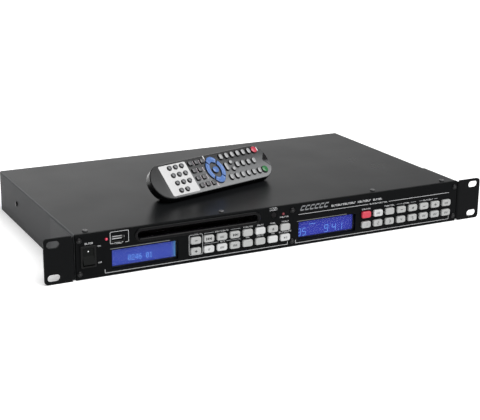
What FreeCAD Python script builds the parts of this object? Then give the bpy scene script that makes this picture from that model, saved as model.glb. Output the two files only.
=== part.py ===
"""Rack-mount disc player and radio tuner, one rack unit high, with its hand remote.

Frame: X to the right seen from the front, Y to the rear, Z up, in millimetres.
The origin is the centre of the four rack slots, on the front face of the rack ears.
"""
import FreeCAD, Part
import math
import os

from FreeCAD import Vector

# ---------------------------------------------------------------- driving dimensions
# Rack standard
RACK_WIDTH = 482.6            # over the ears
RACK_HEIGHT = 43.6            # ears, a little under one rack unit of 44.45
SLOT_INSET = 8.75             # middle of a slot to the ear's tip
SLOT_SPACING_Z = 31.75
SLOT_LENGTH = 12.0
SLOT_WIDTH = 6.8

# Case
EAR_REACH = 29.3              # each ear beyond the cover's side
CASE_WIDTH = RACK_WIDTH - 2 * EAR_REACH
HALF_CASE = CASE_WIDTH / 2
CASE_DEPTH = 246.0            # ear face to the rear panel
CASE_TOP = 21.2
CASE_BOTTOM = -22.0
SHEET = 1.2                   # steel sheet of the case
COVER_BEND_R = 1.6            # outer bend radius of the cover
COVER_FIT = 0.4               # cover side to tray side
COVER_SETBACK = 0.1           # cover to the front panel
TRAY_SIDE_TOP = -4.0          # height of the tray's side flanges
LID_FLANGE_DEPTH = 13.0       # folded rail under the cover's front edge
LID_SCREW_Y = 10.2
SUB_PANEL_FIT = 0.1           # sub-panel to the tray it stands in
LID_SCREW_X = (-HALF_CASE + 13.5, -60.4, 111.8, HALF_CASE - 13.5)
SIDE_SCREW_BACK = 60.4        # side screw to the rear panel
SIDE_SCREW_Z = 0.9
SIDE_TAB_WIDTH = 16.0
REAR_SCREW_X = (-HALF_CASE + 22.0, 0.0, HALF_CASE - 22.0)
REAR_SCREW_Z = 16.2
REAR_LIP_MARGIN = 0.5

# Front panel; its controls keep their places from its left or right edge
PANEL_SIDE_GAP = 0.5          # panel's edge to the cover's side
PANEL_LEFT = -HALF_CASE + PANEL_SIDE_GAP
PANEL_RIGHT = HALF_CASE - PANEL_SIDE_GAP
PANEL_HEIGHT = 43.6
PANEL_THICK = 3.0
PANEL_EDGE_R = 0.7
PANEL_SCREW_X = (PANEL_LEFT + 3.5, PANEL_LEFT + 223.7, PANEL_RIGHT - 3.5)

# Rack ears, bent from plate
EAR_THICK = 2.0
EAR_INNER_R = 1.0
EAR_CORNER_R = 3.5
EAR_FLANGE_LENGTH = 66.0
EAR_FLANGE_HEIGHT = 41.0
EAR_SCREW_Y = (22.0, 52.0)
EAR_SCREW_Z = -10.0

# Screws, all M3 with a low pan head
SCREW_R = 1.5
SCREW_HEAD_R = 2.65
SCREW_HEAD_H = 1.3
SCREW_CROWN = 0.6             # height and width of the head's bevelled crown
SCREW_LENGTH = 6.0
SCREW_HOLE_GAP = 0.15

# Push keys of the two sections
KEY_COLUMNS = 8
KEY_PITCH_X_CD = 13.81
KEY_PITCH_X_TUNER = 14.2
KEY_PITCH_Z = 10.6
KEY_WIDTH = 10.8
KEY_HEIGHT = 6.8
KEY_CORNER_R = 1.9
KEY_PROUD = 2.2
KEY_CROWN = ((0.7, 0.0), (0.3, 0.2), (0.0, 0.65))      # depth, inset of the bevelled rim
KEY_DISH = ((0.0, 0.95), (0.15, 1.8))                  # depth, inset of the dished face
KEY_GAP = 0.3                 # key to its hole, all round
KEY_FLANGE_LIP = 0.6
KEY_FLANGE_THICK = 1.0
KEY_STEM = 3.0
KEY_TRAVEL = 0.6
CD_KEY_X = PANEL_LEFT + 118.6       # first column
TUNER_KEY_X = PANEL_RIGHT - 113.4
KEY_ROW_Z = 0.1               # upper row
SWITCH_BODY = 6.0
SWITCH_BODY_H = 2.9
SWITCH_BUTTON = 2.6
SWITCH_BUTTON_H = 0.6

# Displays
DISPLAY_X = (PANEL_LEFT + 67.9, PANEL_RIGHT - 158.7)   # centres of the two glasses
DISPLAY_Z = -6.6
DISPLAY_OPEN_W = 66.4
DISPLAY_OPEN_H = 18.2
DISPLAY_OPEN_R = 0.6
GLASS_W = 64.0
GLASS_H = 16.0
LENS_W = 70.0
LENS_H = 21.0
MODULE_W = 74.0
MODULE_H = 24.0
MODULE_DEPTH = 7.4
MODULE_FRAME = 0.5

# Disc slot
DISC_SLOT_X = PANEL_LEFT + 122.8
DISC_SLOT_Z = 13.2
DISC_DIAMETER = 120.0
DISC_THICK = 1.2
DISC_SLOT_LENGTH = DISC_DIAMETER + 4.0
DISC_SLOT_HEIGHT = 6.0
BEZEL_RIM = 3.5               # ring beyond each end of the slot
BEZEL_LENGTH = DISC_SLOT_LENGTH + 2 * BEZEL_RIM
BEZEL_HEIGHT = 13.5
BEZEL_PROUD = 1.0
BEZEL_EDGE_R = 0.9
BEZEL_FIT = 0.1
FUNNEL_R = 2.2                # rounded mouth of the slot

# Power switch
ROCKER_X = PANEL_LEFT + 11.7
SWITCH_FRAME_W = 15.0
SWITCH_FRAME_H = 21.0
SWITCH_FRAME_PROUD = 1.5
SWITCH_CORNER_R = 1.0
SWITCH_EDGE_R = 0.6
SWITCH_BODY_W = 13.0
SWITCH_BODY_TALL = 19.2
SWITCH_BODY_DEPTH = 15.0
ROCKER_WIDTH = 10.5
ROCKER_HALF = 7.8             # half height of the rocker
ROCKER_PIVOT_Y = 2.6
ROCKER_REACH = 5.0            # pivot to the rocker's raised ends
ROCKER_VALLEY = 3.3           # pivot to the valley between its two faces
ROCKER_TILT = 10.0            # each way from the middle
ROCKER_GAP = 0.35
ROCKER_PIN_R = 1.0
ROCKER_PIN_LENGTH = 0.9
ROCKER_KEEL = 1.6             # depth of the keel behind the pivot
ROCKER_KEEL_HALF = 4.3
ROCKER_WELL = 3.0             # room behind the pressed-in end
SWITCH_TAB = (4.8, 7.0, 0.8)  # width, length, thickness of a terminal
SWITCH_TAB_PITCH = 6.5
PIN_FIT = 0.05                # radial clearance of running pins

# USB socket
USB_X = PANEL_LEFT + 41.0
USB_Z = 13.0
USB_WIDTH = 12.8
USB_HEIGHT = 5.4
USB_WALL = 0.4
USB_SETBACK = 0.6
USB_HOLE_GAP = 0.35
USB_CORNER_R = 0.4
USB_TONGUE_W = 10.8
USB_TONGUE_H = 1.8
USB_TONGUE_GAP = 0.6          # tongue to the shell's upper wall

# Indicator lights and remote sensor
LED_R = 1.5
LED_PROUD = 0.6
LED_FLANGE_R = 1.9
LED_FLANGE_H = 1.0
LED_FLANGE_GAP = 0.2          # collar to the panel
LED_PLACES = ((PANEL_LEFT + 29.8, 13.9), (PANEL_LEFT + 213.7, 13.4))
SENSOR_X = PANEL_LEFT + 203.3
SENSOR_Z = 13.8
SENSOR_R = 3.2
SENSOR_BODY = 8.4
SENSOR_SETBACK = 0.2          # filter behind the panel's face
SENSOR_EDGE_R = 0.8
SENSOR_BODY_GAP = 0.3         # body to the panel's back
LIGHT_GAP = 0.1

# Circuit boards
BOARD_THICK = 1.6
FRONT_BOARD_Y = 10.0          # front face of the key boards
STANDOFF_R = 2.1
BOARD_MARGIN = 1.0            # board beyond its outermost switches
WINDOW_MARGIN = 0.5           # sub-panel windows around the parts that pass them

# Disc drive
DRIVE_WIDTH = DISC_DIAMETER + 28.0
DRIVE_FRONT = 16.0
DRIVE_LENGTH = 156.0
DRIVE_DECK_Z = -6.0
DRIVE_WALL_TOP = 18.8
DRIVE_SHEET = 1.2
DRIVE_FOOT = 12.0
DECK_WINDOW = (124.0, 40.0)   # width, depth of the deck's rear window
DECK_WINDOW_BACK = 14.0
GEARBOX = (16.0, 26.0)        # width, depth of the loading gearbox
GEARBOX_BACK = 8.0            # roller to the gearbox
ROD_BLOCK = 6.0
ROLLER_Y = 25.0
ROLLER_R_END = 3.5
ROLLER_R_MID = 2.7
ROLLER_LENGTH = 118.0
ROLLER_SHAFT_R = 1.5
ROLLER_SHAFT_END = 1.5        # shaft beyond each side of the drive
SPINDLE_Y = 92.0
TURNTABLE_R = 15.0
TURNTABLE_H = 2.4
TURNTABLE_GAP = 0.3           # turntable to the disc's path
HUB_TAPER = 1.4
HUB_R = 7.4
HUB_H = 1.6
SPINDLE_R = 1.0
SPINDLE_FOOT_GAP = 0.5        # spindle to the floor of its bore
MOTOR_R = 13.0
MOTOR_H = 9.0
SLED_LENGTH = 22.0
SLED_WIDTH = 36.0
SLED_HEIGHT = 7.0
SLED_REST_X = 24.5            # spindle to the middle of the sled at rest
SLED_CORNER_R = 3.0
SLED_RELIEF = 1.5             # sled to the motor it passes
LENS_TURRET_R = 4.0
LENS_TURRET_H = 2.0
ROD_R = 1.5
ROD_SPACING = 28.0
ROD_Z = 2.2
CLAMP_WIDTH = 26.0
GUIDE_WIDTH = 12.0
GUIDE_GAP = 1.0               # disc to the guide above the roller

# Main board and power supply
BOARD_Z = -14.0
MAIN_BOARD_X = (HALF_CASE - 208.0, HALF_CASE - 16.0)
MAIN_BOARD_FRONT = 36.0
MAIN_BOARD_BACK = 24.0        # board to the rear panel
TUNER_CAN = (48.0, 46.0, 14.0)
PROCESSOR = (20.0, 20.0, 1.6)
HEADER = (4.0, 22.0, 7.0)
HEADER_PITCH = 34.0
HEAT_SINK = (26.0, 27.0, 20.0)
HEAT_SINK_BASE = 3.0
FIN_COUNT = 6
FIN_THICK = 2.0
CAPACITOR_R = 5.0
CAPACITOR_H = 13.0
CAPACITOR_PITCH = 16.0
SUPPLY_BOARD_WIDTH = 38.0
SUPPLY_BOARD_LENGTH = 116.0
SUPPLY_SIDE = 6.0             # board to the tray's side
SUPPLY_BACK = 34.0            # board to the rear panel
TRANSFORMER = (30.0, 28.0, 26.0)
TRANSFORMER_YOKE = (22.0, 36.0, 18.0)
RESERVOIR_R = 8.0
RESERVOIR_H = 22.0
SUPPLY_SINK = (3.0, 34.0, 20.0)
RAIL_WIDTH = 6.0              # folded rails that carry the boards
RAIL_INSET = 6.0

# Rear panel
INLET_X = -HALF_CASE + 36.0
INLET_Z = 0.0
INLET_FLANGE_W = 48.0
INLET_FLANGE_H = 23.0
INLET_FLANGE_T = 3.0
INLET_BODY_W = 27.4
INLET_BODY_H = 20.0
INLET_BODY_DEPTH = 20.0
INLET_CAVITY_W = 24.6
INLET_CAVITY_H = 17.4
INLET_CAVITY_DEPTH = 16.0
INLET_CORNER = 4.6
INLET_CAVITY_CORNER = 4.0
INLET_FLANGE_R = 4.0
INLET_EDGE_R = 0.8
INLET_PIN_W = 2.0
INLET_PIN_H = 4.0
INLET_PIN_PITCH = 7.0
INLET_PIN_LIFT = 2.0
INLET_SCREW_PITCH = 40.0
RCA_X = (HALF_CASE - 152.0, HALF_CASE - 136.0)
RCA_Z = (-7.0, 7.0)
RCA_R = 4.1
RCA_BORE_R = 1.6
RCA_PROUD = 8.0
RCA_BLOCK = (34.0, 28.0, 10.0)
RCA_BORE_DEPTH = 4.0
AERIAL_X = HALF_CASE - 82.0
AERIAL_Z = 0.0
AERIAL_R = 4.8
AERIAL_BORE_R = 3.6
AERIAL_PROUD = 9.0
AERIAL_BLOCK = 16.0
AERIAL_PIN_R = 0.8
AERIAL_PIN_BACK = 2.0
TERMINAL = (6.0, 6.0, 0.8)    # width, length, thickness of the inlet's rear tabs
REAR_HOLE_GAP = 0.3

# Hand remote, lying on its near side facet on the cover
REMOTE_LENGTH = 156.4
REMOTE_WIDTH = 40.5
REMOTE_RIM = 8.0              # height of the upright rim
REMOTE_FACET = 18.0           # width of each slanted side facet
REMOTE_TILT = 44.3            # slant of those facets
REMOTE_TURN = 15.8            # turned on the cover, about Z
REMOTE_END_R = 20.0           # rounded battery end
REMOTE_NOSE_R = 16.5
REMOTE_EDGE = 0.8             # bevel round the key face
REMOTE_NOSE_RAKE = 7.0
REMOTE_TAIL_RAKE = 11.5
REMOTE_KEEL_TAIL_R = 6.5      # corners of the flat underside
REMOTE_KEEL_NOSE_R = 4.5
REMOTE_WALL = 1.8
REMOTE_SPLIT = 5.0            # joint line below the key face
REMOTE_PLACE = (-35.6, 82.1)  # middle of the key face, in plan
REMOTE_REST_GAP = 0.05
DOOR_LENGTH = 56.0
DOOR_DEPTH = 15.0
DOOR_GAP = 0.15
MAT_THICK = 1.2
MAT_EDGE = 3.0                # mat to the case's ends
MAT_KEY_PROUD = 2.3
MAT_KEY_CROWN = 0.5           # bevel round the top of a key
MAT_KEY_GAP = 0.25
MAT_PITCH = REMOTE_LENGTH / 20.05
MAT_ROWS = (0.331, 0.114, -0.109, -0.323)      # shares of the width
MAT_NUMBER_COUNTS = (3, 3, 3, 2)
MAT_OBLONG_COUNTS = (3, 2, 2, 3)
MAT_LONG_COUNT = 6            # before the larger last key of the row
MAT_MIDDLE_COUNT = 4
MAT_NUMBER_COLUMN = -6.31     # columns are counted in pitches from the middle
MAT_OBLONG_COLUMN = -2.87
MAT_LONG_COLUMN = 2.37
MAT_MIDDLE_COLUMN = 4.37
MAT_SMALL_COLUMN = 3.45
MAT_TALL_COLUMN = 2.45
MAT_LONG_ROWS = (0.333, -0.281)
MAT_MIDDLE_ROW = 0.030
MAT_SMALL_ROWS = (0.128, -0.072)
MAT_NUMBER_KEY = (5.0, 5.0)   # width and depth of each kind of key
MAT_OBLONG_KEY = (5.2, 5.0)
MAT_OVAL_KEY = (5.0, 7.0)
MAT_LAST_KEY = (8.0, 8.0)
MAT_SMALL_KEY = (4.6, 5.0)
MAT_TALL_KEY = (4.2, 9.6)
MAT_OBLONG_R = 1.4
MAT_ROUND = 0.98              # corner radius of the other keys, share of half their width
RING_COLUMN = 0.45            # middle of the direction keys
RING_Y = 0.4
RING_MIDDLE_KEY = (7.6, 7.6)
RING_OUTER = (10.4, 14.6)
RING_INNER = (6.1, 9.0)
RING_KEYS = ((0, 84), (90, 80), (180, 84), (270, 80))  # direction, span in degrees
RING_PEAK = 0.08
RING_STEPS = 6
IR_WINDOW_W = 23.8
IR_WINDOW_TIP_W = 2.0
IR_WINDOW_DEPTH = 8.0
IR_WINDOW_THICK = 2.4

# ---------------------------------------------------------------- derived places
TOUCH = 0.01                  # two faces nearer than this count as one place
PANEL_BACK = PANEL_THICK
COVER_FRONT = PANEL_BACK + COVER_SETBACK
FLOOR_TOP = CASE_BOTTOM + SHEET
LID_UNDER = CASE_TOP - SHEET
WALL_BACK = PANEL_BACK + SHEET
TRAY_HALF = HALF_CASE - SHEET - COVER_FIT
SUB_PANEL_HALF = TRAY_HALF - SHEET - SUB_PANEL_FIT
SIDE_SCREW_Y = CASE_DEPTH - SIDE_SCREW_BACK
MAIN_BOARD = MAIN_BOARD_X + (MAIN_BOARD_FRONT, CASE_DEPTH - MAIN_BOARD_BACK)
SUPPLY_LEFT = -TRAY_HALF + SUPPLY_SIDE
SUPPLY_END = CASE_DEPTH - SUPPLY_BACK
SUPPLY_BOARD = (SUPPLY_LEFT, SUPPLY_LEFT + SUPPLY_BOARD_WIDTH,
                SUPPLY_END - SUPPLY_BOARD_LENGTH, SUPPLY_END)
BOARD_TOP = BOARD_Z + BOARD_THICK
SLOT_X = RACK_WIDTH / 2 - SLOT_INSET
SLOT_Z = SLOT_SPACING_Z / 2
KEY_FLANGE_W = KEY_WIDTH + 2 * KEY_FLANGE_LIP
KEY_FLANGE_H = KEY_HEIGHT + 2 * KEY_FLANGE_LIP
KEY_FLANGE_Y = PANEL_BACK + KEY_GAP
SWITCH_FRONT_Y = FRONT_BOARD_Y - SWITCH_BODY_H - SWITCH_BUTTON_H
KEY_STEM_END = SWITCH_FRONT_Y - KEY_TRAVEL - KEY_GAP
DRIVE_LEFT = DISC_SLOT_X - DRIVE_WIDTH / 2
DRIVE_RIGHT = DISC_SLOT_X + DRIVE_WIDTH / 2
DRIVE_BACK = DRIVE_FRONT + DRIVE_LENGTH
DISC_UNDER = DISC_SLOT_Z - DISC_THICK / 2
ROLLER_Z = DISC_UNDER - ROLLER_R_END
DECK_TOP = DRIVE_DECK_Z + DRIVE_SHEET


# ---------------------------------------------------------------- helpers
def box(x0, x1, y0, y1, z0, z1):
    return Part.makeBox(x1 - x0, y1 - y0, z1 - z0, Vector(x0, y0, z0))


def cyl(axis, radius, start, length):
    return Part.makeCylinder(radius, length, Vector(*start), Vector(*axis))


def cyl_y(radius, x, z, y0, y1):
    return cyl((0, 1, 0), radius, (x, y0, z), y1 - y0)


def rounded_wire_xz(x, z, width, height, radius, y):
    """Closed wire of a rounded rectangle in the plane at y."""
    w = width / 2
    h = height / 2
    r = min(radius, w - TOUCH / 2, h - TOUCH / 2)
    k = r * (1 - math.sqrt(0.5))

    def at(u, v):
        return Vector(x + u, y, z + v)

    edges = []
    if w - r > TOUCH:
        edges.append(Part.makeLine(at(-w + r, -h), at(w - r, -h)))
    edges.append(Part.Arc(at(w - r, -h), at(w - k, -h + k), at(w, -h + r)).toShape())
    if h - r > TOUCH:
        edges.append(Part.makeLine(at(w, -h + r), at(w, h - r)))
    edges.append(Part.Arc(at(w, h - r), at(w - k, h - k), at(w - r, h)).toShape())
    if w - r > TOUCH:
        edges.append(Part.makeLine(at(w - r, h), at(-w + r, h)))
    edges.append(Part.Arc(at(-w + r, h), at(-w + k, h - k), at(-w, h - r)).toShape())
    if h - r > TOUCH:
        edges.append(Part.makeLine(at(-w, h - r), at(-w, -h + r)))
    edges.append(Part.Arc(at(-w, -h + r), at(-w + k, -h + k), at(-w + r, -h)).toShape())
    return Part.Wire(Part.__sortEdges__(edges))


def rounded_plate(x, z, width, height, radius, y0, y1):
    """Rounded rectangle in XZ, extruded from y0 to y1."""
    wire = rounded_wire_xz(x, z, width, height, radius, y0)
    return Part.Face(wire).extrude(Vector(0, y1 - y0, 0))


def racetrack(x, z, length, height, y0, y1):
    """Racetrack with full round ends: two end cylinders and the bar between."""
    half = (length - height) / 2
    bar = box(x - half, x + half, y0, y1, z - height / 2, z + height / 2)
    ends = [cyl_y(height / 2, x + side * half, z, y0, y1) for side in (-1, 1)]
    return bar.fuse(ends).removeSplitter()


def polygon_prism(points, direction):
    """Closed polygon of points, extruded along direction."""
    vectors = [Vector(*p) for p in points]
    wire = Part.makePolygon(vectors + [vectors[0]])
    return Part.Face(wire).extrude(Vector(*direction))


def edges_at_y(shape, y):
    """Edges that lie wholly in the plane at y."""
    found = []
    for edge in shape.Edges:
        bounds = edge.BoundBox
        if abs(bounds.YMin - y) < TOUCH and abs(bounds.YMax - y) < TOUCH:
            found.append(edge)
    return found


def mirrored_x(shape):
    return shape.mirror(Vector(0, 0, 0), Vector(1, 0, 0))


def save(name, shape):
    shape.exportStep("parts/" + name + ".step")


# ---------------------------------------------------------------- fasteners
def screw(place, axis):
    """Pan-head screw; place is the seat of the head and axis points into the work."""
    rim = SCREW_HEAD_H - SCREW_CROWN
    head = Part.makeCylinder(SCREW_HEAD_R, rim, Vector(0, 0, -rim))
    crown = Part.makeCone(SCREW_HEAD_R - SCREW_CROWN, SCREW_HEAD_R, SCREW_CROWN,
                          Vector(0, 0, -SCREW_HEAD_H))
    shank = Part.makeCylinder(SCREW_R, SCREW_LENGTH)
    solid = head.fuse([crown, shank]).removeSplitter()
    turn = FreeCAD.Rotation(Vector(0, 0, 1), Vector(*axis))
    solid.Placement = FreeCAD.Placement(Vector(*place), turn)
    return solid


def screw_hole(place, axis):
    """Hole that the screw's shank passes, long enough for every sheet it holds."""
    start = Vector(*place) - Vector(*axis) * SCREW_HEAD_H
    length = SCREW_LENGTH + 2 * SCREW_HEAD_H
    return Part.makeCylinder(SCREW_R + SCREW_HOLE_GAP, length, start, Vector(*axis))


def screw_places():
    """Every case screw as (seat of its head, direction of its shank)."""
    places = []
    for x in PANEL_SCREW_X:
        for z in (-SLOT_Z, SLOT_Z):
            places.append(((x, 0, z), (0, 1, 0)))
    for x in LID_SCREW_X:
        places.append(((x, LID_SCREW_Y, CASE_TOP), (0, 0, -1)))
    for side in (-1, 1):
        places.append(((side * HALF_CASE, SIDE_SCREW_Y, SIDE_SCREW_Z), (-side, 0, 0)))
        for y in EAR_SCREW_Y:
            places.append(((side * (HALF_CASE + EAR_THICK), y, EAR_SCREW_Z), (-side, 0, 0)))
    for x in REAR_SCREW_X:
        places.append(((x, CASE_DEPTH + SHEET, REAR_SCREW_Z), (0, -1, 0)))
    return places


def cut_screw_holes(shape):
    return shape.cut([screw_hole(place, axis) for place, axis in screw_places()])


def case_screws():
    return Part.makeCompound([screw(place, axis) for place, axis in screw_places()])


# ---------------------------------------------------------------- places of the keys
def key_places(first_x, pitch):
    """(row, column, x, z) of one section's keys."""
    places = []
    for row in range(2):
        for column in range(KEY_COLUMNS):
            places.append((row, column, first_x + column * pitch, KEY_ROW_Z - row * KEY_PITCH_Z))
    return places


def sections():
    return (("cd", key_places(CD_KEY_X, KEY_PITCH_X_CD)),
            ("tuner", key_places(TUNER_KEY_X, KEY_PITCH_X_TUNER)))


def key_field(places, margin):
    """Rectangle (x0, x1, z0, z1) around a section's keys."""
    xs = [p[2] for p in places]
    zs = [p[3] for p in places]
    w = KEY_FLANGE_W / 2 + margin
    h = KEY_FLANGE_H / 2 + margin
    return min(xs) - w, max(xs) + w, min(zs) - h, max(zs) + h


# ---------------------------------------------------------------- case
def board_standoffs():
    """(x, z) of the spacers between the sub-panel and the three front boards."""
    cd = key_field(key_places(CD_KEY_X, KEY_PITCH_X_CD), WINDOW_MARGIN)
    tuner = key_field(key_places(TUNER_KEY_X, KEY_PITCH_X_TUNER), WINDOW_MARGIN)
    reach = STANDOFF_R + WINDOW_MARGIN
    usb_left = LED_PLACES[0][0] - LED_FLANGE_R - WINDOW_MARGIN - reach
    usb_right = USB_X + USB_WIDTH / 2 + USB_HOLE_GAP + WINDOW_MARGIN + reach
    middle = KEY_ROW_Z - KEY_PITCH_Z / 2
    return {
        "cd": ((cd[0] - reach, middle), (cd[1] + reach, middle)),
        "tuner": ((tuner[0] + reach, tuner[3] + reach), (tuner[1] - reach, tuner[3] + reach)),
        "usb": ((usb_left, USB_Z), (usb_right, USB_Z)),
    }


def front_windows():
    """Windows of the sub-panel behind the front panel, as (x0, x1, z0, z1)."""
    m = WINDOW_MARGIN
    windows = []
    for _, places in sections():
        windows.append(key_field(places, m))
    for x in DISPLAY_X:
        w = LENS_W / 2 + m
        h = LENS_H / 2 + m
        windows.append((x - w, x + w, DISPLAY_Z - h, DISPLAY_Z + h))
    half = BEZEL_LENGTH / 2 + m
    rise = DISC_SLOT_HEIGHT / 2 + FUNNEL_R
    windows.append((DISC_SLOT_X - half, DISC_SLOT_X + half, DISC_SLOT_Z - rise, DISC_SLOT_Z + rise))
    w = SWITCH_BODY_W / 2 + m
    h = SWITCH_BODY_TALL / 2 + m
    windows.append((ROCKER_X - w, ROCKER_X + w, -h, h))
    rise = SENSOR_BODY / 2 + m
    left_led, right_led = LED_PLACES
    windows.append((left_led[0] - LED_FLANGE_R - m, USB_X + USB_WIDTH / 2 + USB_HOLE_GAP + m,
                    USB_Z - rise, USB_Z + rise))
    windows.append((SENSOR_X - SENSOR_BODY / 2 - m, right_led[0] + LED_FLANGE_R + m,
                    SENSOR_Z - rise, SENSOR_Z + rise))
    return windows


def board_rails(board):
    """Two folded rails under a board, across its front and rear ends."""
    x0, x1, y0, y1 = board
    rails = []
    for y in (y0 + RAIL_INSET, y1 - RAIL_INSET - RAIL_WIDTH):
        rails.append(box(x0, x1, y, y + RAIL_WIDTH, CASE_BOTTOM, BOARD_Z))
    return rails


def base_tray():
    """Steel tray: floor, rear panel, low sides with their screw tabs, and the board rails."""
    tray = box(-TRAY_HALF, TRAY_HALF, PANEL_BACK, CASE_DEPTH, CASE_BOTTOM, FLOOR_TOP)
    rear = box(-TRAY_HALF, TRAY_HALF, CASE_DEPTH - SHEET, CASE_DEPTH, CASE_BOTTOM, LID_UNDER)
    solids = [rear]
    for side in (-1, 1):
        outer = side * TRAY_HALF
        inner = outer - side * SHEET
        x0, x1 = sorted((outer, inner))
        solids.append(box(x0, x1, PANEL_BACK, CASE_DEPTH, CASE_BOTTOM, TRAY_SIDE_TOP))
        solids.append(box(x0, x1, SIDE_SCREW_Y - SIDE_TAB_WIDTH / 2,
                          SIDE_SCREW_Y + SIDE_TAB_WIDTH / 2, CASE_BOTTOM,
                          SIDE_SCREW_Z + SIDE_TAB_WIDTH / 2))
    for board in (MAIN_BOARD, SUPPLY_BOARD):
        solids.extend(board_rails(board))
    tray = tray.fuse(solids).removeSplitter()
    return cut_screw_holes(tray.cut(rear_cutouts()))


def sub_panel():
    """Steel sub-panel behind the front panel, with its top rail and the board spacers."""
    half = SUB_PANEL_HALF
    plate = box(-half, half, PANEL_BACK, WALL_BACK, FLOOR_TOP, LID_UNDER)
    solids = [box(-half, half, PANEL_BACK, PANEL_BACK + LID_FLANGE_DEPTH,
                  LID_UNDER - SHEET, LID_UNDER)]
    for pair in board_standoffs().values():
        for x, z in pair:
            solids.append(cyl_y(STANDOFF_R, x, z, PANEL_BACK, FRONT_BOARD_Y))
    plate = plate.fuse(solids).removeSplitter()
    cuts = [box(x0, x1, 0, WALL_BACK + TOUCH, z0, z1) for x0, x1, z0, z1 in front_windows()]
    return cut_screw_holes(plate.cut(cuts))


def top_cover():
    """Folded cover: top, two sides and a rear lip that laps the rear panel."""
    outer = box(-HALF_CASE, HALF_CASE, COVER_FRONT, CASE_DEPTH + SHEET, CASE_BOTTOM, CASE_TOP)
    bends = [e for e in outer.Edges
             if e.BoundBox.ZMin > CASE_TOP - TOUCH and e.BoundBox.YLength > 1]
    outer = outer.makeFillet(COVER_BEND_R, bends)
    inner_half = HALF_CASE - SHEET
    inner = box(-inner_half, inner_half, 0, CASE_DEPTH + 2 * SHEET, CASE_BOTTOM - 1, LID_UNDER)
    bends = [e for e in inner.Edges
             if e.BoundBox.ZMin > LID_UNDER - TOUCH and e.BoundBox.YLength > 1]
    inner = inner.makeFillet(COVER_BEND_R - SHEET, bends)
    lip = box(-inner_half, inner_half, CASE_DEPTH, CASE_DEPTH + SHEET,
              REAR_SCREW_Z - SCREW_HEAD_R - REAR_LIP_MARGIN, LID_UNDER)
    return cut_screw_holes(outer.cut(inner).fuse(lip).removeSplitter())


def rack_ear():
    """Right ear: slotted face, quarter bend and the flange along the case side."""
    outer_r = EAR_INNER_R + EAR_THICK
    tip = RACK_WIDTH / 2
    bend = HALF_CASE + outer_r
    half = RACK_HEIGHT / 2
    face = box(bend, tip, 0, EAR_THICK, -half, half)
    corners = [e for e in face.Edges
               if e.BoundBox.XMin > tip - TOUCH and e.BoundBox.YLength > EAR_THICK - TOUCH]
    face = face.makeFillet(min(EAR_CORNER_R, tip - bend - TOUCH), corners)
    tall = EAR_FLANGE_HEIGHT
    knee = cyl((0, 0, 1), outer_r, (bend, outer_r, -tall / 2), tall)
    knee = knee.cut(cyl((0, 0, 1), EAR_INNER_R, (bend, outer_r, -tall), 2 * tall))
    knee = knee.common(box(HALF_CASE, bend, 0, outer_r, -tall, tall))
    flange = box(HALF_CASE, HALF_CASE + EAR_THICK, outer_r, EAR_FLANGE_LENGTH,
                 -tall / 2, tall / 2)
    rear = [e for e in flange.Edges
            if e.BoundBox.YMin > EAR_FLANGE_LENGTH - TOUCH and e.BoundBox.XLength > 1]
    flange = flange.makeFillet(EAR_CORNER_R, rear)
    ear = face.fuse([knee, flange]).removeSplitter()
    slots = [racetrack(SLOT_X, z, SLOT_LENGTH, SLOT_WIDTH, -1, EAR_THICK + 1)
             for z in (-SLOT_Z, SLOT_Z)]
    return cut_screw_holes(ear.cut(slots))


def rack_ears():
    """Both ears: the right one and its mirror image."""
    right = rack_ear()
    return Part.makeCompound([right, mirrored_x(right)])


def front_panel():
    """Plate with every opening of the front."""
    panel = box(PANEL_LEFT, PANEL_RIGHT, 0, PANEL_BACK,
                -PANEL_HEIGHT / 2, PANEL_HEIGHT / 2)
    panel = panel.makeFillet(PANEL_EDGE_R, edges_at_y(panel, 0))
    far = PANEL_BACK + 1
    cuts = []
    for _, places in sections():
        for _, _, x, z in places:
            cuts.append(rounded_plate(x, z, KEY_WIDTH + 2 * KEY_GAP, KEY_HEIGHT + 2 * KEY_GAP,
                                      KEY_CORNER_R + KEY_GAP, -1, far))
    for x in DISPLAY_X:
        cuts.append(rounded_plate(x, DISPLAY_Z, DISPLAY_OPEN_W, DISPLAY_OPEN_H,
                                  DISPLAY_OPEN_R, -1, far))
    cuts.append(racetrack(DISC_SLOT_X, DISC_SLOT_Z, BEZEL_LENGTH + 2 * BEZEL_FIT,
                          BEZEL_HEIGHT + 2 * BEZEL_FIT, -1, far))
    cuts.append(box(ROCKER_X - SWITCH_BODY_W / 2, ROCKER_X + SWITCH_BODY_W / 2, -1, far,
                    -SWITCH_BODY_TALL / 2, SWITCH_BODY_TALL / 2))
    cuts.append(rounded_plate(USB_X, USB_Z, USB_WIDTH + 2 * USB_HOLE_GAP,
                              USB_HEIGHT + 2 * USB_HOLE_GAP, USB_CORNER_R, -1, far))
    for x, z in LED_PLACES:
        cuts.append(cyl_y(LED_R + LIGHT_GAP, x, z, -1, far))
    cuts.append(cyl_y(SENSOR_R + LIGHT_GAP, SENSOR_X, SENSOR_Z, -1, far))
    return cut_screw_holes(panel.cut(cuts))


# ---------------------------------------------------------------- front controls
def key_outline(x, z, depth, inset):
    """The key's outline, inset all round, at a depth below its front."""
    return rounded_wire_xz(x, z, KEY_WIDTH - 2 * inset, KEY_HEIGHT - 2 * inset,
                           KEY_CORNER_R - inset / 2, depth - KEY_PROUD)


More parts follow.
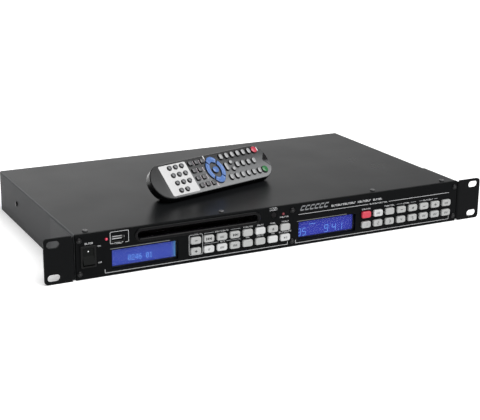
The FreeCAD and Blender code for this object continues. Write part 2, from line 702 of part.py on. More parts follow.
def key(x, z):
    """Key with a bevelled rim and dished face, a retaining flange and a switch stem."""
    rim = [key_outline(x, z, KEY_PROUD + KEY_FLANGE_Y, 0)]
    rim += [key_outline(x, z, depth, inset) for depth, inset in KEY_CROWN]
    cap = Part.makeLoft(rim, True, True)
    dish = Part.makeLoft([key_outline(x, z, depth, inset) for depth, inset in KEY_DISH],
                         True, True)
    w = KEY_FLANGE_W / 2
    h = KEY_FLANGE_H / 2
    flange = box(x - w, x + w, KEY_FLANGE_Y, KEY_FLANGE_Y + KEY_FLANGE_THICK, z - h, z + h)
    s = KEY_STEM / 2
    stem = box(x - s, x + s, KEY_FLANGE_Y, KEY_STEM_END, z - s, z + s)
    return cap.cut(dish).fuse([flange, stem]).removeSplitter()


def front_board(x0, x1, z0, z1):
    return box(x0, x1, FRONT_BOARD_Y, FRONT_BOARD_Y + BOARD_THICK, z0, z1)


def tact_switch(x, z):
    b = SWITCH_BODY / 2
    s = SWITCH_BUTTON / 2
    top = FRONT_BOARD_Y - SWITCH_BODY_H
    body = box(x - b, x + b, top, FRONT_BOARD_Y, z - b, z + b)
    button = box(x - s, x + s, top - SWITCH_BUTTON_H, top, z - s, z + s)
    return body.fuse(button)


def front_boards():
    """Three boards behind the panel: both key boards and the socket board."""
    spacers = board_standoffs()
    m = STANDOFF_R + WINDOW_MARGIN
    boards = []
    for name, places in sections():
        (xa, za), (xb, zb) = spacers[name]
        field = key_field(places, BOARD_MARGIN)
        top = max(field[3], za + m, zb + m)
        plate = front_board(min(field[0], xa - m), max(field[1], xb + m), field[2], top)
        if name == "cd":
            rise = SENSOR_Z + SENSOR_BODY / 2
            left = SENSOR_X - SENSOR_BODY / 2 - BOARD_MARGIN
            right = LED_PLACES[1][0] + LED_FLANGE_R + BOARD_MARGIN
            plate = plate.fuse(front_board(left, right, top, rise)).removeSplitter()
        boards.append(plate.fuse([tact_switch(x, z) for _, _, x, z in places]).removeSplitter())
    (xa, za), (xb, zb) = spacers["usb"]
    boards.append(front_board(xa - m, xb + m, USB_Z - SENSOR_BODY / 2, USB_Z + SENSOR_BODY / 2))
    return Part.makeCompound(boards)


def display_windows():
    """Clear windows against the back of the panel's two openings."""
    w = LENS_W / 2
    h = LENS_H / 2
    lenses = [box(x - w, x + w, PANEL_BACK, WALL_BACK, DISPLAY_Z - h, DISPLAY_Z + h)
              for x in DISPLAY_X]
    return Part.makeCompound(lenses)


def display_module(x):
    """Display in its metal frame; the glass shows through the frame's opening."""
    w = MODULE_W / 2
    h = MODULE_H / 2
    z = DISPLAY_Z
    y1 = WALL_BACK + MODULE_DEPTH
    body = box(x - w, x + w, WALL_BACK, y1, z - h, z + h)
    view = box(x - GLASS_W / 2, x + GLASS_W / 2, WALL_BACK - 1, WALL_BACK + MODULE_FRAME,
               z - GLASS_H / 2, z + GLASS_H / 2)
    board = box(x - w - 1, x + w + 1, y1, y1 + BOARD_THICK, z - h, z + h)
    return body.cut(view).fuse(board)


def display_modules():
    return Part.makeCompound([display_module(x) for x in DISPLAY_X])


def slot_bezel():
    """Moulded ring round the disc slot, rounded outside and funnelled inside."""
    ring = racetrack(DISC_SLOT_X, DISC_SLOT_Z, BEZEL_LENGTH, BEZEL_HEIGHT,
                     -BEZEL_PROUD, PANEL_BACK)
    ring = ring.makeFillet(BEZEL_EDGE_R, edges_at_y(ring, -BEZEL_PROUD))
    slot = racetrack(DISC_SLOT_X, DISC_SLOT_Z, DISC_SLOT_LENGTH, DISC_SLOT_HEIGHT,
                     -BEZEL_PROUD - 1, PANEL_BACK + 1)
    ring = ring.cut(slot)
    mouth = [e for e in edges_at_y(ring, -BEZEL_PROUD)
             if e.BoundBox.ZMax < DISC_SLOT_Z + DISC_SLOT_HEIGHT / 2 + TOUCH
             and e.BoundBox.ZMin > DISC_SLOT_Z - DISC_SLOT_HEIGHT / 2 - TOUCH]
    return ring.makeFillet(FUNNEL_R, mouth)


def usb_socket():
    """Metal shell with its contact tongue, standing on the socket board."""
    w = USB_WIDTH
    h = USB_HEIGHT
    t = USB_WALL
    shell = rounded_plate(USB_X, USB_Z, w, h, USB_CORNER_R, USB_SETBACK, FRONT_BOARD_Y)
    inner = box(USB_X - w / 2 + t, USB_X + w / 2 - t, 0, FRONT_BOARD_Y - t,
                USB_Z - h / 2 + t, USB_Z + h / 2 - t)
    shell = shell.cut(inner)
    top = USB_Z + h / 2 - t - USB_TONGUE_GAP
    tongue = box(USB_X - USB_TONGUE_W / 2, USB_X + USB_TONGUE_W / 2, USB_SETBACK + 1,
                 FRONT_BOARD_Y - t, top - USB_TONGUE_H, top)
    return shell.fuse(tongue)


def indicator_light(x, z):
    """Dome-ended lamp with its collar, down to the board."""
    body = cyl_y(LED_R, x, z, LED_R - LED_PROUD, FRONT_BOARD_Y)
    dome = Part.makeSphere(LED_R, Vector(x, LED_R - LED_PROUD, z))
    dome = dome.common(box(x - 5, x + 5, -5, LED_R - LED_PROUD, z - 5, z + 5))
    seat = PANEL_BACK + LED_FLANGE_GAP
    collar = cyl_y(LED_FLANGE_R, x, z, seat, seat + LED_FLANGE_H)
    return body.fuse([dome, collar]).removeSplitter()


def indicator_lights():
    return Part.makeCompound([indicator_light(x, z) for x, z in LED_PLACES])


def remote_sensor():
    """Infrared receiver: round filter in the panel and its body on the key board."""
    seat = PANEL_BACK + SENSOR_BODY_GAP
    lens = cyl_y(SENSOR_R, SENSOR_X, SENSOR_Z, SENSOR_SETBACK, seat)
    lens = lens.makeFillet(SENSOR_EDGE_R, edges_at_y(lens, SENSOR_SETBACK))
    b = SENSOR_BODY / 2
    body = box(SENSOR_X - b, SENSOR_X + b, seat, FRONT_BOARD_Y,
               SENSOR_Z - b, SENSOR_Z + b)
    return lens.fuse(body).removeSplitter()


def rocker_cavity():
    w = ROCKER_WIDTH / 2 + ROCKER_GAP
    tilt = math.radians(ROCKER_TILT)
    reach = ROCKER_HALF * math.cos(tilt) + ROCKER_REACH * math.sin(tilt) + ROCKER_GAP
    depth = ROCKER_PIVOT_Y + ROCKER_HALF * math.sin(tilt) + ROCKER_WELL
    return box(ROCKER_X - w, ROCKER_X + w, -10, depth, -reach, reach)


def power_switch_housing():
    """Snap-in switch body with its frame, rocker well, pin holes and three tabs."""
    frame = rounded_plate(ROCKER_X, 0, SWITCH_FRAME_W, SWITCH_FRAME_H, SWITCH_CORNER_R,
                          -SWITCH_FRAME_PROUD, 0)
    frame = frame.makeFillet(SWITCH_EDGE_R, edges_at_y(frame, -SWITCH_FRAME_PROUD))
    body = box(ROCKER_X - SWITCH_BODY_W / 2, ROCKER_X + SWITCH_BODY_W / 2, 0,
               SWITCH_BODY_DEPTH, -SWITCH_BODY_TALL / 2, SWITCH_BODY_TALL / 2)
    w, length, t = SWITCH_TAB
    tabs = [box(ROCKER_X - w / 2, ROCKER_X + w / 2, SWITCH_BODY_DEPTH,
                SWITCH_BODY_DEPTH + length, z - t / 2, z + t / 2)
            for z in (-SWITCH_TAB_PITCH, 0, SWITCH_TAB_PITCH)]
    housing = frame.fuse([body] + tabs).removeSplitter().cut(rocker_cavity())
    pins = cyl((1, 0, 0), ROCKER_PIN_R + PIN_FIT,
               (ROCKER_X - ROCKER_WIDTH / 2 - ROCKER_PIN_LENGTH - PIN_FIT, ROCKER_PIVOT_Y, 0),
               ROCKER_WIDTH + 2 * ROCKER_PIN_LENGTH + 2 * PIN_FIT)
    return housing.cut(pins)


def power_rocker():
    """V-faced rocker on its two pins, pressed in at the top."""
    w = ROCKER_WIDTH / 2
    y = ROCKER_PIVOT_Y
    x = ROCKER_X - w
    profile = [(x, y - ROCKER_REACH, ROCKER_HALF), (x, y - ROCKER_VALLEY, 0),
               (x, y - ROCKER_REACH, -ROCKER_HALF), (x, y, -ROCKER_HALF),
               (x, y + ROCKER_KEEL, -ROCKER_KEEL_HALF), (x, y + ROCKER_KEEL, ROCKER_KEEL_HALF),
               (x, y, ROCKER_HALF)]
    rocker = polygon_prism(profile, (ROCKER_WIDTH, 0, 0))
    pins = cyl((1, 0, 0), ROCKER_PIN_R, (x - ROCKER_PIN_LENGTH, y, 0),
               ROCKER_WIDTH + 2 * ROCKER_PIN_LENGTH)
    rocker = rocker.fuse(pins).removeSplitter()
    rocker.rotate(Vector(0, y, 0), Vector(1, 0, 0), -ROCKER_TILT)
    return rocker


# ---------------------------------------------------------------- disc drive
def rod_places():
    return [SPINDLE_Y + side * ROD_SPACING / 2 for side in (-1, 1)]


def drive_frame():
    """Folded steel frame: deck, sides, feet, clamp bridge, rods and motors."""
    deck = box(DRIVE_LEFT, DRIVE_RIGHT, DRIVE_FRONT, DRIVE_BACK, DRIVE_DECK_Z, DECK_TOP)
    window_w, window_d = DECK_WINDOW
    window_back = DRIVE_BACK - DECK_WINDOW_BACK
    window = box(DISC_SLOT_X - window_w / 2, DISC_SLOT_X + window_w / 2,
                 window_back - window_d, window_back, DRIVE_DECK_Z - 1, DECK_TOP + 1)
    deck = deck.cut(window)
    solids = []
    for x in (DRIVE_LEFT, DRIVE_RIGHT - DRIVE_SHEET):
        solids.append(box(x, x + DRIVE_SHEET, DRIVE_FRONT, DRIVE_BACK,
                          DRIVE_DECK_Z, DRIVE_WALL_TOP))
    for x in (DRIVE_LEFT, DRIVE_RIGHT - DRIVE_FOOT):
        for y in (DRIVE_FRONT + 2, DRIVE_BACK - DRIVE_FOOT - 2):
            solids.append(box(x, x + DRIVE_FOOT, y, y + DRIVE_SHEET, FLOOR_TOP, DECK_TOP))
            solids.append(box(x, x + DRIVE_FOOT, y, y + DRIVE_FOOT, FLOOR_TOP,
                              FLOOR_TOP + DRIVE_SHEET))
    bridge = box(DRIVE_LEFT, DRIVE_RIGHT, SPINDLE_Y - CLAMP_WIDTH / 2,
                 SPINDLE_Y + CLAMP_WIDTH / 2, DRIVE_WALL_TOP - DRIVE_SHEET, DRIVE_WALL_TOP)
    solids.append(bridge)
    motor = cyl((0, 0, 1), MOTOR_R, (DISC_SLOT_X, SPINDLE_Y, DRIVE_DECK_Z - 3), MOTOR_H + 3)
    solids.append(motor)
    gear_y = ROLLER_Y + GEARBOX_BACK
    gearbox = box(DRIVE_RIGHT - GEARBOX[0], DRIVE_RIGHT, gear_y, gear_y + GEARBOX[1],
                  DECK_TOP, ROLLER_Z)
    solids.append(gearbox)
    guide_z = DISC_UNDER + DISC_THICK + GUIDE_GAP
    guide = box(DRIVE_LEFT, DRIVE_RIGHT, ROLLER_Y - GUIDE_WIDTH / 2, ROLLER_Y + GUIDE_WIDTH / 2,
                guide_z, guide_z + DRIVE_SHEET)
    solids.append(guide)
    frame = deck.fuse(solids).removeSplitter()
    for y in rod_places():
        start = DISC_SLOT_X + MOTOR_R - 1
        end = DRIVE_RIGHT - DRIVE_SHEET
        block = box(start - ROD_BLOCK, start, y - ROD_BLOCK / 2, y + ROD_BLOCK / 2,
                    DRIVE_DECK_Z, ROD_Z + ROD_R + 1)
        rod = cyl((1, 0, 0), ROD_R, (start - 1, y, ROD_Z), end - start + 1 + DRIVE_SHEET / 2)
        frame = frame.fuse([block, rod])
    frame = frame.removeSplitter()
    journal = cyl((1, 0, 0), ROLLER_SHAFT_R + PIN_FIT, (DRIVE_LEFT - 1, ROLLER_Y, ROLLER_Z),
                  DRIVE_WIDTH + 2)
    bore = cyl((0, 0, 1), SPINDLE_R + PIN_FIT, (DISC_SLOT_X, SPINDLE_Y, DECK_TOP),
               MOTOR_H + 5)
    return frame.cut([journal, bore])


def feed_roller():
    """Rubber feed roller, waisted so that it grips the disc by its rim, on its shaft."""
    half = ROLLER_LENGTH / 2
    left = Part.makeCone(ROLLER_R_END, ROLLER_R_MID, half,
                         Vector(DISC_SLOT_X - half, ROLLER_Y, ROLLER_Z), Vector(1, 0, 0))
    right = Part.makeCone(ROLLER_R_MID, ROLLER_R_END, half,
                          Vector(DISC_SLOT_X, ROLLER_Y, ROLLER_Z), Vector(1, 0, 0))
    shaft = cyl((1, 0, 0), ROLLER_SHAFT_R, (DRIVE_LEFT - ROLLER_SHAFT_END, ROLLER_Y, ROLLER_Z),
                DRIVE_WIDTH + 2 * ROLLER_SHAFT_END)
    return shaft.fuse([left, right]).removeSplitter()


def spindle_turntable():
    """Turntable with its centring hub, on the spindle that runs in the motor."""
    top = DISC_UNDER - TURNTABLE_GAP
    base = top - TURNTABLE_H
    plate = cyl((0, 0, 1), TURNTABLE_R, (DISC_SLOT_X, SPINDLE_Y, base), TURNTABLE_H)
    hub = Part.makeCone(HUB_R, HUB_R - HUB_TAPER, HUB_H, Vector(DISC_SLOT_X, SPINDLE_Y, top))
    shaft_base = DECK_TOP + SPINDLE_FOOT_GAP
    shaft = cyl((0, 0, 1), SPINDLE_R, (DISC_SLOT_X, SPINDLE_Y, shaft_base), base - shaft_base)
    return plate.fuse([hub, shaft]).removeSplitter()


def pickup_sled():
    """Laser pickup on its two guide rods, with the lens turret on top."""
    x = DISC_SLOT_X + SLED_REST_X
    l = SLED_LENGTH / 2
    w = SLED_WIDTH / 2
    z0 = ROD_Z - SLED_HEIGHT / 2
    z1 = ROD_Z + SLED_HEIGHT / 2
    body = box(x - l, x + l, SPINDLE_Y - w, SPINDLE_Y + w, z0, z1)
    upright = [e for e in body.Edges if e.BoundBox.ZLength > SLED_HEIGHT - TOUCH]
    body = body.makeFillet(SLED_CORNER_R, upright)
    turret = cyl((0, 0, 1), LENS_TURRET_R, (x, SPINDLE_Y, z1), LENS_TURRET_H)
    relief = cyl((0, 0, 1), MOTOR_R + SLED_RELIEF, (DISC_SLOT_X, SPINDLE_Y, z0 - 1), SLED_HEIGHT + 2)
    rods = [cyl((1, 0, 0), ROD_R + PIN_FIT, (x - l - 1, y, ROD_Z), SLED_LENGTH + 2)
            for y in rod_places()]
    return body.fuse(turret).removeSplitter().cut([relief] + rods)


# ---------------------------------------------------------------- electronics inside
def block_at(x, y, size, z=BOARD_TOP):
    """Box of a fitted part, standing on a board with its near left corner at (x, y)."""
    width, depth, height = size
    return box(x, x + width, y, y + depth, z, z + height)


def main_board():
    """Board with the tuner can, processor, heat sink, capacitors and headers."""
    x0, x1, y0, y1 = MAIN_BOARD
    board = box(x0, x1, y0, y1, BOARD_Z, BOARD_TOP)
    parts = [block_at(AERIAL_X - TUNER_CAN[0] / 2, y1 - TUNER_CAN[1] - RAIL_INSET, TUNER_CAN)]
    parts.append(block_at(x0 + 3 * PROCESSOR[0], y0 + 3 * PROCESSOR[1], PROCESSOR))
    for i in range(3):
        parts.append(block_at(x0 + 2 * HEADER[0], y0 + HEADER[1] + HEADER_PITCH * i, HEADER))
    middle = (x0 + x1) / 2
    cap_x = x1 - 3 * CAPACITOR_R
    for i in range(4):
        cap_y = y0 + CAPACITOR_PITCH * (i + 1)
        parts.append(cyl((0, 0, 1), CAPACITOR_R, (cap_x, cap_y, BOARD_TOP), CAPACITOR_H))
    width, depth, height = HEAT_SINK
    parts.append(block_at(middle, y0 + depth, (width, depth, HEAT_SINK_BASE)))
    fin_pitch = (depth - FIN_THICK) / (FIN_COUNT - 1)
    for i in range(FIN_COUNT):
        parts.append(block_at(middle, y0 + depth + fin_pitch * i, (width, FIN_THICK, height)))
    return board.fuse(parts).removeSplitter()


def power_supply():
    """Supply board with its transformer, reservoir capacitors and heat sink."""
    x0, x1, y0, y1 = SUPPLY_BOARD
    middle = (x0 + x1) / 2
    board = box(x0, x1, y0, y1, BOARD_Z, BOARD_TOP)
    core_w, core_d, core_h = TRANSFORMER_YOKE
    coil_w, coil_d, coil_h = TRANSFORMER
    core_y = y0 + RAIL_WIDTH + RAIL_INSET
    parts = [block_at(middle - core_w / 2, core_y, TRANSFORMER_YOKE)]
    parts.append(block_at(middle - coil_w / 2, core_y + (core_d - coil_d) / 2, TRANSFORMER))
    cap_y = core_y + core_d + 1.5 * RESERVOIR_R
    for side in (-1, 1):
        place = (middle + side * 1.1 * RESERVOIR_R, cap_y, BOARD_TOP)
        parts.append(cyl((0, 0, 1), RESERVOIR_R, place, RESERVOIR_H))
    sink_y = cap_y + 1.5 * RESERVOIR_R
    parts.append(block_at(x0 + SUPPLY_SIDE, sink_y, SUPPLY_SINK))
    return board.fuse(parts).removeSplitter()


def inlet_outline(width, height, y0, y1, corner):
    """Mains inlet section: a rectangle with its two upper corners cut."""
    w = width / 2
    h = height / 2
    points = [(INLET_X - w, y0, INLET_Z - h), (INLET_X + w, y0, INLET_Z - h),
              (INLET_X + w, y0, INLET_Z + h - corner), (INLET_X + w - corner, y0, INLET_Z + h),
              (INLET_X - w + corner, y0, INLET_Z + h), (INLET_X - w, y0, INLET_Z + h - corner)]
    return polygon_prism(points, (0, y1 - y0, 0))


def rear_cutouts():
    """Holes of the rear panel for the inlet, its screws and the sockets."""
    y0 = CASE_DEPTH - SHEET - 1
    y1 = CASE_DEPTH + 1
    gap = REAR_HOLE_GAP
    cuts = [inlet_outline(INLET_BODY_W + 2 * gap, INLET_BODY_H + 2 * gap, y0, y1, INLET_CORNER)]
    for side in (-1, 1):
        cuts.append(cyl_y(SCREW_R + SCREW_HOLE_GAP, INLET_X + side * INLET_SCREW_PITCH / 2,
                          INLET_Z, y0, y1))
    for x in RCA_X:
        for z in RCA_Z:
            cuts.append(cyl_y(RCA_R + gap, x, z, y0, y1))
    cuts.append(cyl_y(AERIAL_R + gap, AERIAL_X, AERIAL_Z, y0, y1))
    return cuts


def mains_inlet():
    """Three-pin mains inlet with its screw flange."""
    face = CASE_DEPTH
    flange = rounded_plate(INLET_X, INLET_Z, INLET_FLANGE_W, INLET_FLANGE_H,
                           INLET_FLANGE_R, face, face + INLET_FLANGE_T)
    flange = flange.makeFillet(INLET_EDGE_R, edges_at_y(flange, face + INLET_FLANGE_T))
    body = inlet_outline(INLET_BODY_W, INLET_BODY_H, face - INLET_BODY_DEPTH, face, INLET_CORNER)
    cavity = inlet_outline(INLET_CAVITY_W, INLET_CAVITY_H,
                           face + INLET_FLANGE_T - INLET_CAVITY_DEPTH,
                           face + INLET_FLANGE_T + 1, INLET_CAVITY_CORNER)
    inlet = flange.fuse(body).removeSplitter().cut(cavity)
    floor = face + INLET_FLANGE_T - INLET_CAVITY_DEPTH
    for i in (-1, 0, 1):
        x = INLET_X + i * INLET_PIN_PITCH
        z = INLET_Z + (INLET_PIN_LIFT if i == 0 else -INLET_PIN_LIFT)
        pin = box(x - INLET_PIN_W / 2, x + INLET_PIN_W / 2, floor - 1, face,
                  z - INLET_PIN_H / 2, z + INLET_PIN_H / 2)
        width, length, thick = TERMINAL
        tab = box(x - width / 2, x + width / 2, face - INLET_BODY_DEPTH - length,
                  face - INLET_BODY_DEPTH, z - thick / 2, z + thick / 2)
        inlet = inlet.fuse([pin, tab])
    for side in (-1, 1):
        x = INLET_X + side * INLET_SCREW_PITCH / 2
        inlet = inlet.cut(cyl_y(SCREW_R + SCREW_HOLE_GAP, x, INLET_Z, face - 1,
                                face + INLET_FLANGE_T + 1))
    return inlet.removeSplitter()


def rear_sockets():
    """Block of four phono sockets and the aerial socket, against the rear panel."""
    inside = CASE_DEPTH - SHEET
    bw, bh, bd = RCA_BLOCK
    cx = sum(RCA_X) / 2
    cz = sum(RCA_Z) / 2
    block = box(cx - bw / 2, cx + bw / 2, inside - bd, inside, cz - bh / 2, cz + bh / 2)
    barrels = []
    bores = []
    for x in RCA_X:
        for z in RCA_Z:
            barrels.append(cyl_y(RCA_R, x, z, inside, CASE_DEPTH + RCA_PROUD))
            bores.append(cyl_y(RCA_BORE_R, x, z, inside - RCA_BORE_DEPTH,
                               CASE_DEPTH + RCA_PROUD + 1))
    phono = block.fuse(barrels).removeSplitter().cut(bores)
    b = AERIAL_BLOCK / 2
    body = box(AERIAL_X - b, AERIAL_X + b, inside - AERIAL_BLOCK, inside,
               AERIAL_Z - b, AERIAL_Z + b)
    barrel = cyl_y(AERIAL_R, AERIAL_X, AERIAL_Z, inside, CASE_DEPTH + AERIAL_PROUD)
    bore = cyl_y(AERIAL_BORE_R, AERIAL_X, AERIAL_Z, inside, CASE_DEPTH + AERIAL_PROUD + 1)
    pin = cyl_y(AERIAL_PIN_R, AERIAL_X, AERIAL_Z, inside - 1,
                CASE_DEPTH + AERIAL_PROUD - AERIAL_PIN_BACK)
    aerial = body.fuse(barrel).removeSplitter().cut(bore).fuse(pin)
    return Part.makeCompound([phono, aerial])


# ---------------------------------------------------------------- hand remote
def remote_placement():
    """Frame of the key face: X along it, Y to its far edge, Z out of it."""
    tilt = math.radians(REMOTE_TILT)
    lift = (REMOTE_WIDTH / 2) * math.sin(tilt) + REMOTE_RIM * math.cos(tilt)
    place = Vector(REMOTE_PLACE[0], REMOTE_PLACE[1], CASE_TOP + REMOTE_REST_GAP + lift)
    turn = FreeCAD.Rotation(Vector(0, 0, 1), REMOTE_TURN)
    lean = FreeCAD.Rotation(Vector(1, 0, 0), REMOTE_TILT)
    return FreeCAD.Placement(place, turn.multiply(lean))


def plan_wire(x0, x1, half, tail_r, nose_r, z):
    """Outline from above at height z, with two corner radii at each end."""
    def corner(x, y, radius, turn):
        return Part.makeCircle(radius, Vector(x, y, z), Vector(0, 0, 1), turn, turn + 90)

    corners = [corner(x1 - nose_r, -half + nose_r, nose_r, 270),
               corner(x1 - nose_r, half - nose_r, nose_r, 0),
               corner(x0 + tail_r, half - tail_r, tail_r, 90),
               corner(x0 + tail_r, -half + tail_r, tail_r, 180)]
    edges = []
    for before, after in zip([corners[-1]] + corners, corners):
        edges.append(Part.makeLine(before.valueAt(before.LastParameter),
                                   after.valueAt(after.FirstParameter)))
        edges.append(after)
    return Part.Wire(edges)


def hull_ring(z, inset, rakes=(0, 0), half=REMOTE_WIDTH / 2, radii=(REMOTE_END_R, REMOTE_NOSE_R)):
    """Outline of the hull at height z, inset all round and raked in at its two ends."""
    h = REMOTE_LENGTH / 2
    return plan_wire(-h + rakes[0] + inset, h - rakes[1] - inset, half - inset,
                     radii[0] - inset, radii[1] - inset, z)


def remote_hull(inset):
    """Bevelled key face, upright rim, then slanted facets down to a narrow keel."""
    tilt = math.radians(REMOTE_TILT)
    shift = inset * math.tan(tilt / 2)
    keel_half = REMOTE_WIDTH / 2 - REMOTE_FACET * math.cos(tilt)
    keel_z = -REMOTE_RIM - REMOTE_FACET * math.sin(tilt)
    rings = [hull_ring(-inset, inset + REMOTE_EDGE), hull_ring(-inset - REMOTE_EDGE, inset),
             hull_ring(-REMOTE_RIM + shift, inset),
             hull_ring(keel_z + inset, shift, (REMOTE_TAIL_RAKE, REMOTE_NOSE_RAKE), keel_half,
                       (REMOTE_KEEL_TAIL_R, REMOTE_KEEL_NOSE_R))]
    return Part.makeLoft(rings, True, True)


def slab(x0, x1, z0, z1):
    w = REMOTE_WIDTH
    return box(x0, x1, -w, w, z0, z1)


def pad_key(x, y, size, radius, grow, z0, z1):
    """One key of the mat, or its hole where it has grown; its top edge is bevelled."""
    half = size[0] / 2 + grow
    r = radius + grow
    outline = plan_wire(x - half, x + half, size[1] / 2 + grow, r, r, z0)
    solid = Part.Face(outline).extrude(Vector(0, 0, z1 - z0))
    if not grow:
        top = [e for e in solid.Edges if e.BoundBox.ZMin > z1 - TOUCH]
        solid = solid.makeChamfer(MAT_KEY_CROWN, top)
    solid.translate(Vector(0, y, 0))
    return solid


def mat_keys():
    """(x, y, size, corner radius) of the mat's single keys, from the middle of the key face."""
    places = [(RING_COLUMN, RING_Y, RING_MIDDLE_KEY)]
    for kind, counts, first in ((MAT_NUMBER_KEY, MAT_NUMBER_COUNTS, MAT_NUMBER_COLUMN),
                                (MAT_OBLONG_KEY, MAT_OBLONG_COUNTS, MAT_OBLONG_COLUMN)):
        for count, row in zip(counts, MAT_ROWS):
            places.extend([(first + i, row * REMOTE_WIDTH, kind) for i in range(count)])
    for row in MAT_LONG_ROWS:
        y = row * REMOTE_WIDTH
        places.extend([(MAT_LONG_COLUMN + i, y, MAT_OVAL_KEY) for i in range(MAT_LONG_COUNT)])
        places.append((MAT_LONG_COLUMN + MAT_LONG_COUNT, y, MAT_LAST_KEY))
    for i in range(MAT_MIDDLE_COUNT):
        places.append((MAT_MIDDLE_COLUMN + i, MAT_MIDDLE_ROW * REMOTE_WIDTH, MAT_OVAL_KEY))
    for row in MAT_SMALL_ROWS:
        places.append((MAT_SMALL_COLUMN, row * REMOTE_WIDTH, MAT_SMALL_KEY))
    places.append((MAT_TALL_COLUMN, sum(MAT_SMALL_ROWS) / 2 * REMOTE_WIDTH, MAT_TALL_KEY))
    keys = []
    for column, y, size in places:
        radius = MAT_OBLONG_R if size == MAT_OBLONG_KEY else MAT_ROUND * min(size) / 2
        keys.append((MAT_PITCH * column, y, size, radius))
    return keys


def ring_key(direction, span, grow, z0, z1):
    """One of the four curved direction keys round the middle one."""
    start = math.radians(direction - span / 2) - grow / RING_OUTER[0]
    sweep = math.radians(span) + 2 * grow / RING_OUTER[0]
    outer = []
    inner = []
    for i in range(RING_STEPS + 1):
        angle = start + sweep * i / RING_STEPS
        c = math.cos(angle)
        s = math.sin(angle)
        peak = 1 + RING_PEAK * math.cos(math.pi * (i / RING_STEPS - 0.5))
        x = MAT_PITCH * RING_COLUMN
        outer.append((x + (RING_OUTER[0] + grow) * peak * c,
                      RING_Y + (RING_OUTER[1] + grow) * peak * s, z0))
        inner.append((x + (RING_INNER[0] - grow) * c, RING_Y + (RING_INNER[1] - grow) * s, z0))
    return polygon_prism(outer + inner[::-1], (0, 0, z1 - z0))


def mat_key_solids(grow, z0, z1):
    solids = [pad_key(x, y, size, radius, grow, z0, z1) for x, y, size, radius in mat_keys()]
    for direction, span in RING_KEYS:
        solids.append(ring_key(direction, span, grow, z0, z1))
    return solids


def ir_window_block():
    """Chevron let into the nose, wide at the edge and narrow inside."""
    x1 = REMOTE_LENGTH / 2 + 1
    x0 = REMOTE_LENGTH / 2 - IR_WINDOW_DEPTH
    w = IR_WINDOW_W / 2
    t = IR_WINDOW_TIP_W / 2
    points = [(x1, -w, -IR_WINDOW_THICK), (x1, w, -IR_WINDOW_THICK),
              (x0, t, -IR_WINDOW_THICK), (x0, -t, -IR_WINDOW_THICK)]
    return polygon_prism(points, (0, 0, 5))


def remote_upper_case():
    """Key face with its rim down to the joint line, pierced for the keys."""
    shell = remote_hull(0).common(slab(-REMOTE_LENGTH, REMOTE_LENGTH, -REMOTE_SPLIT, 5))
    shell = shell.cut(remote_hull(REMOTE_WALL))
    shell = shell.cut(mat_key_solids(MAT_KEY_GAP, -REMOTE_WALL - 1, 5))
    shell = shell.cut(ir_window_block())
    shell.Placement = remote_placement()
    return shell


def remote_shell_below():
    """Hull skin below the joint line, before the battery door is taken out."""
    hull = remote_hull(0).common(slab(-REMOTE_LENGTH, REMOTE_LENGTH, -REMOTE_WIDTH, -REMOTE_SPLIT))
    return hull.cut(remote_hull(REMOTE_WALL))


def remote_lower_case():
    """Boat-shaped lower shell, open where the battery door slides on."""
    edge = -REMOTE_LENGTH / 2 + DOOR_LENGTH
    shell = remote_shell_below().cut(slab(-REMOTE_LENGTH, edge, -REMOTE_WIDTH, -DOOR_DEPTH))
    wall = remote_hull(REMOTE_WALL).common(slab(edge + 1, edge + 1 + REMOTE_WALL,
                                                -REMOTE_WIDTH, -REMOTE_SPLIT))
    shell = shell.fuse(wall).removeSplitter()
    shell.Placement = remote_placement()
    return shell


def remote_battery_door():
    """Sliding door: the hull's own skin at the battery end."""
    edge = -REMOTE_LENGTH / 2 + DOOR_LENGTH - DOOR_GAP
    door = remote_shell_below().common(slab(-REMOTE_LENGTH, edge, -REMOTE_WIDTH,
                                            -DOOR_DEPTH - DOOR_GAP))
    door.Placement = remote_placement()
    return door


def remote_keypad():
    """One rubber mat under the key face, with all its keys."""
    inner = remote_hull(REMOTE_WALL)
    h = REMOTE_LENGTH / 2 - MAT_EDGE
    top = -REMOTE_WALL
    mat = inner.common(box(-h, h - IR_WINDOW_DEPTH, -REMOTE_WIDTH, REMOTE_WIDTH,
                           top - MAT_THICK, top))
    mat = mat.fuse(mat_key_solids(0, top - MAT_THICK / 2, MAT_KEY_PROUD)).removeSplitter()
    mat.Placement = remote_placement()
    return mat


def remote_ir_window():
    """Dark filter let into the nose of the key face."""
    window = remote_hull(0).common(ir_window_block())
    window.Placement = remote_placement()
    return window


# ---------------------------------------------------------------- output
def main():
    os.makedirs("parts", exist_ok=True)
    save("base_tray", base_tray())
    save("sub_panel", sub_panel())
    save("top_cover", top_cover())
    save("front_panel", front_panel())
    save("rack_ears", rack_ears())
    save("case_screws", case_screws())
    save("slot_bezel", slot_bezel())
    save("display_windows", display_windows())
    save("display_modules", display_modules())
    save("usb_socket", usb_socket())
    save("indicator_lights", indicator_lights())
    save("remote_sensor", remote_sensor())
    save("power_switch_housing", power_switch_housing())
    save("power_rocker", power_rocker())
    save("front_boards", front_boards())
    for section, places in sections():
        for row, column, x, z in places:
            save(section + "_key_" + "ab"[row] + str(column + 1), key(x, z))
    save("drive_frame", drive_frame())
    save("feed_roller", feed_roller())
    save("spindle_turntable", spindle_turntable())
    save("pickup_sled", pickup_sled())
    save("main_board", main_board())
    save("power_supply", power_supply())
    save("mains_inlet", mains_inlet())
    save("rear_sockets", rear_sockets())
    save("remote_upper_case", remote_upper_case())
    save("remote_lower_case", remote_lower_case())
    save("remote_battery_door", remote_battery_door())
    save("remote_keypad", remote_keypad())
    save("remote_ir_window", remote_ir_window())


main()
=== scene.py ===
"""Looks of the rack-mount disc player and tuner with its hand remote.

Everything is placed in millimetres of the CAD frame: X right, Y to the rear, Z up, the origin in the
middle of the four rack slots on the front face of the ears. MM turns those lengths into metres.
"""
import math

import bmesh
import bpy
from mathutils import Matrix, Vector


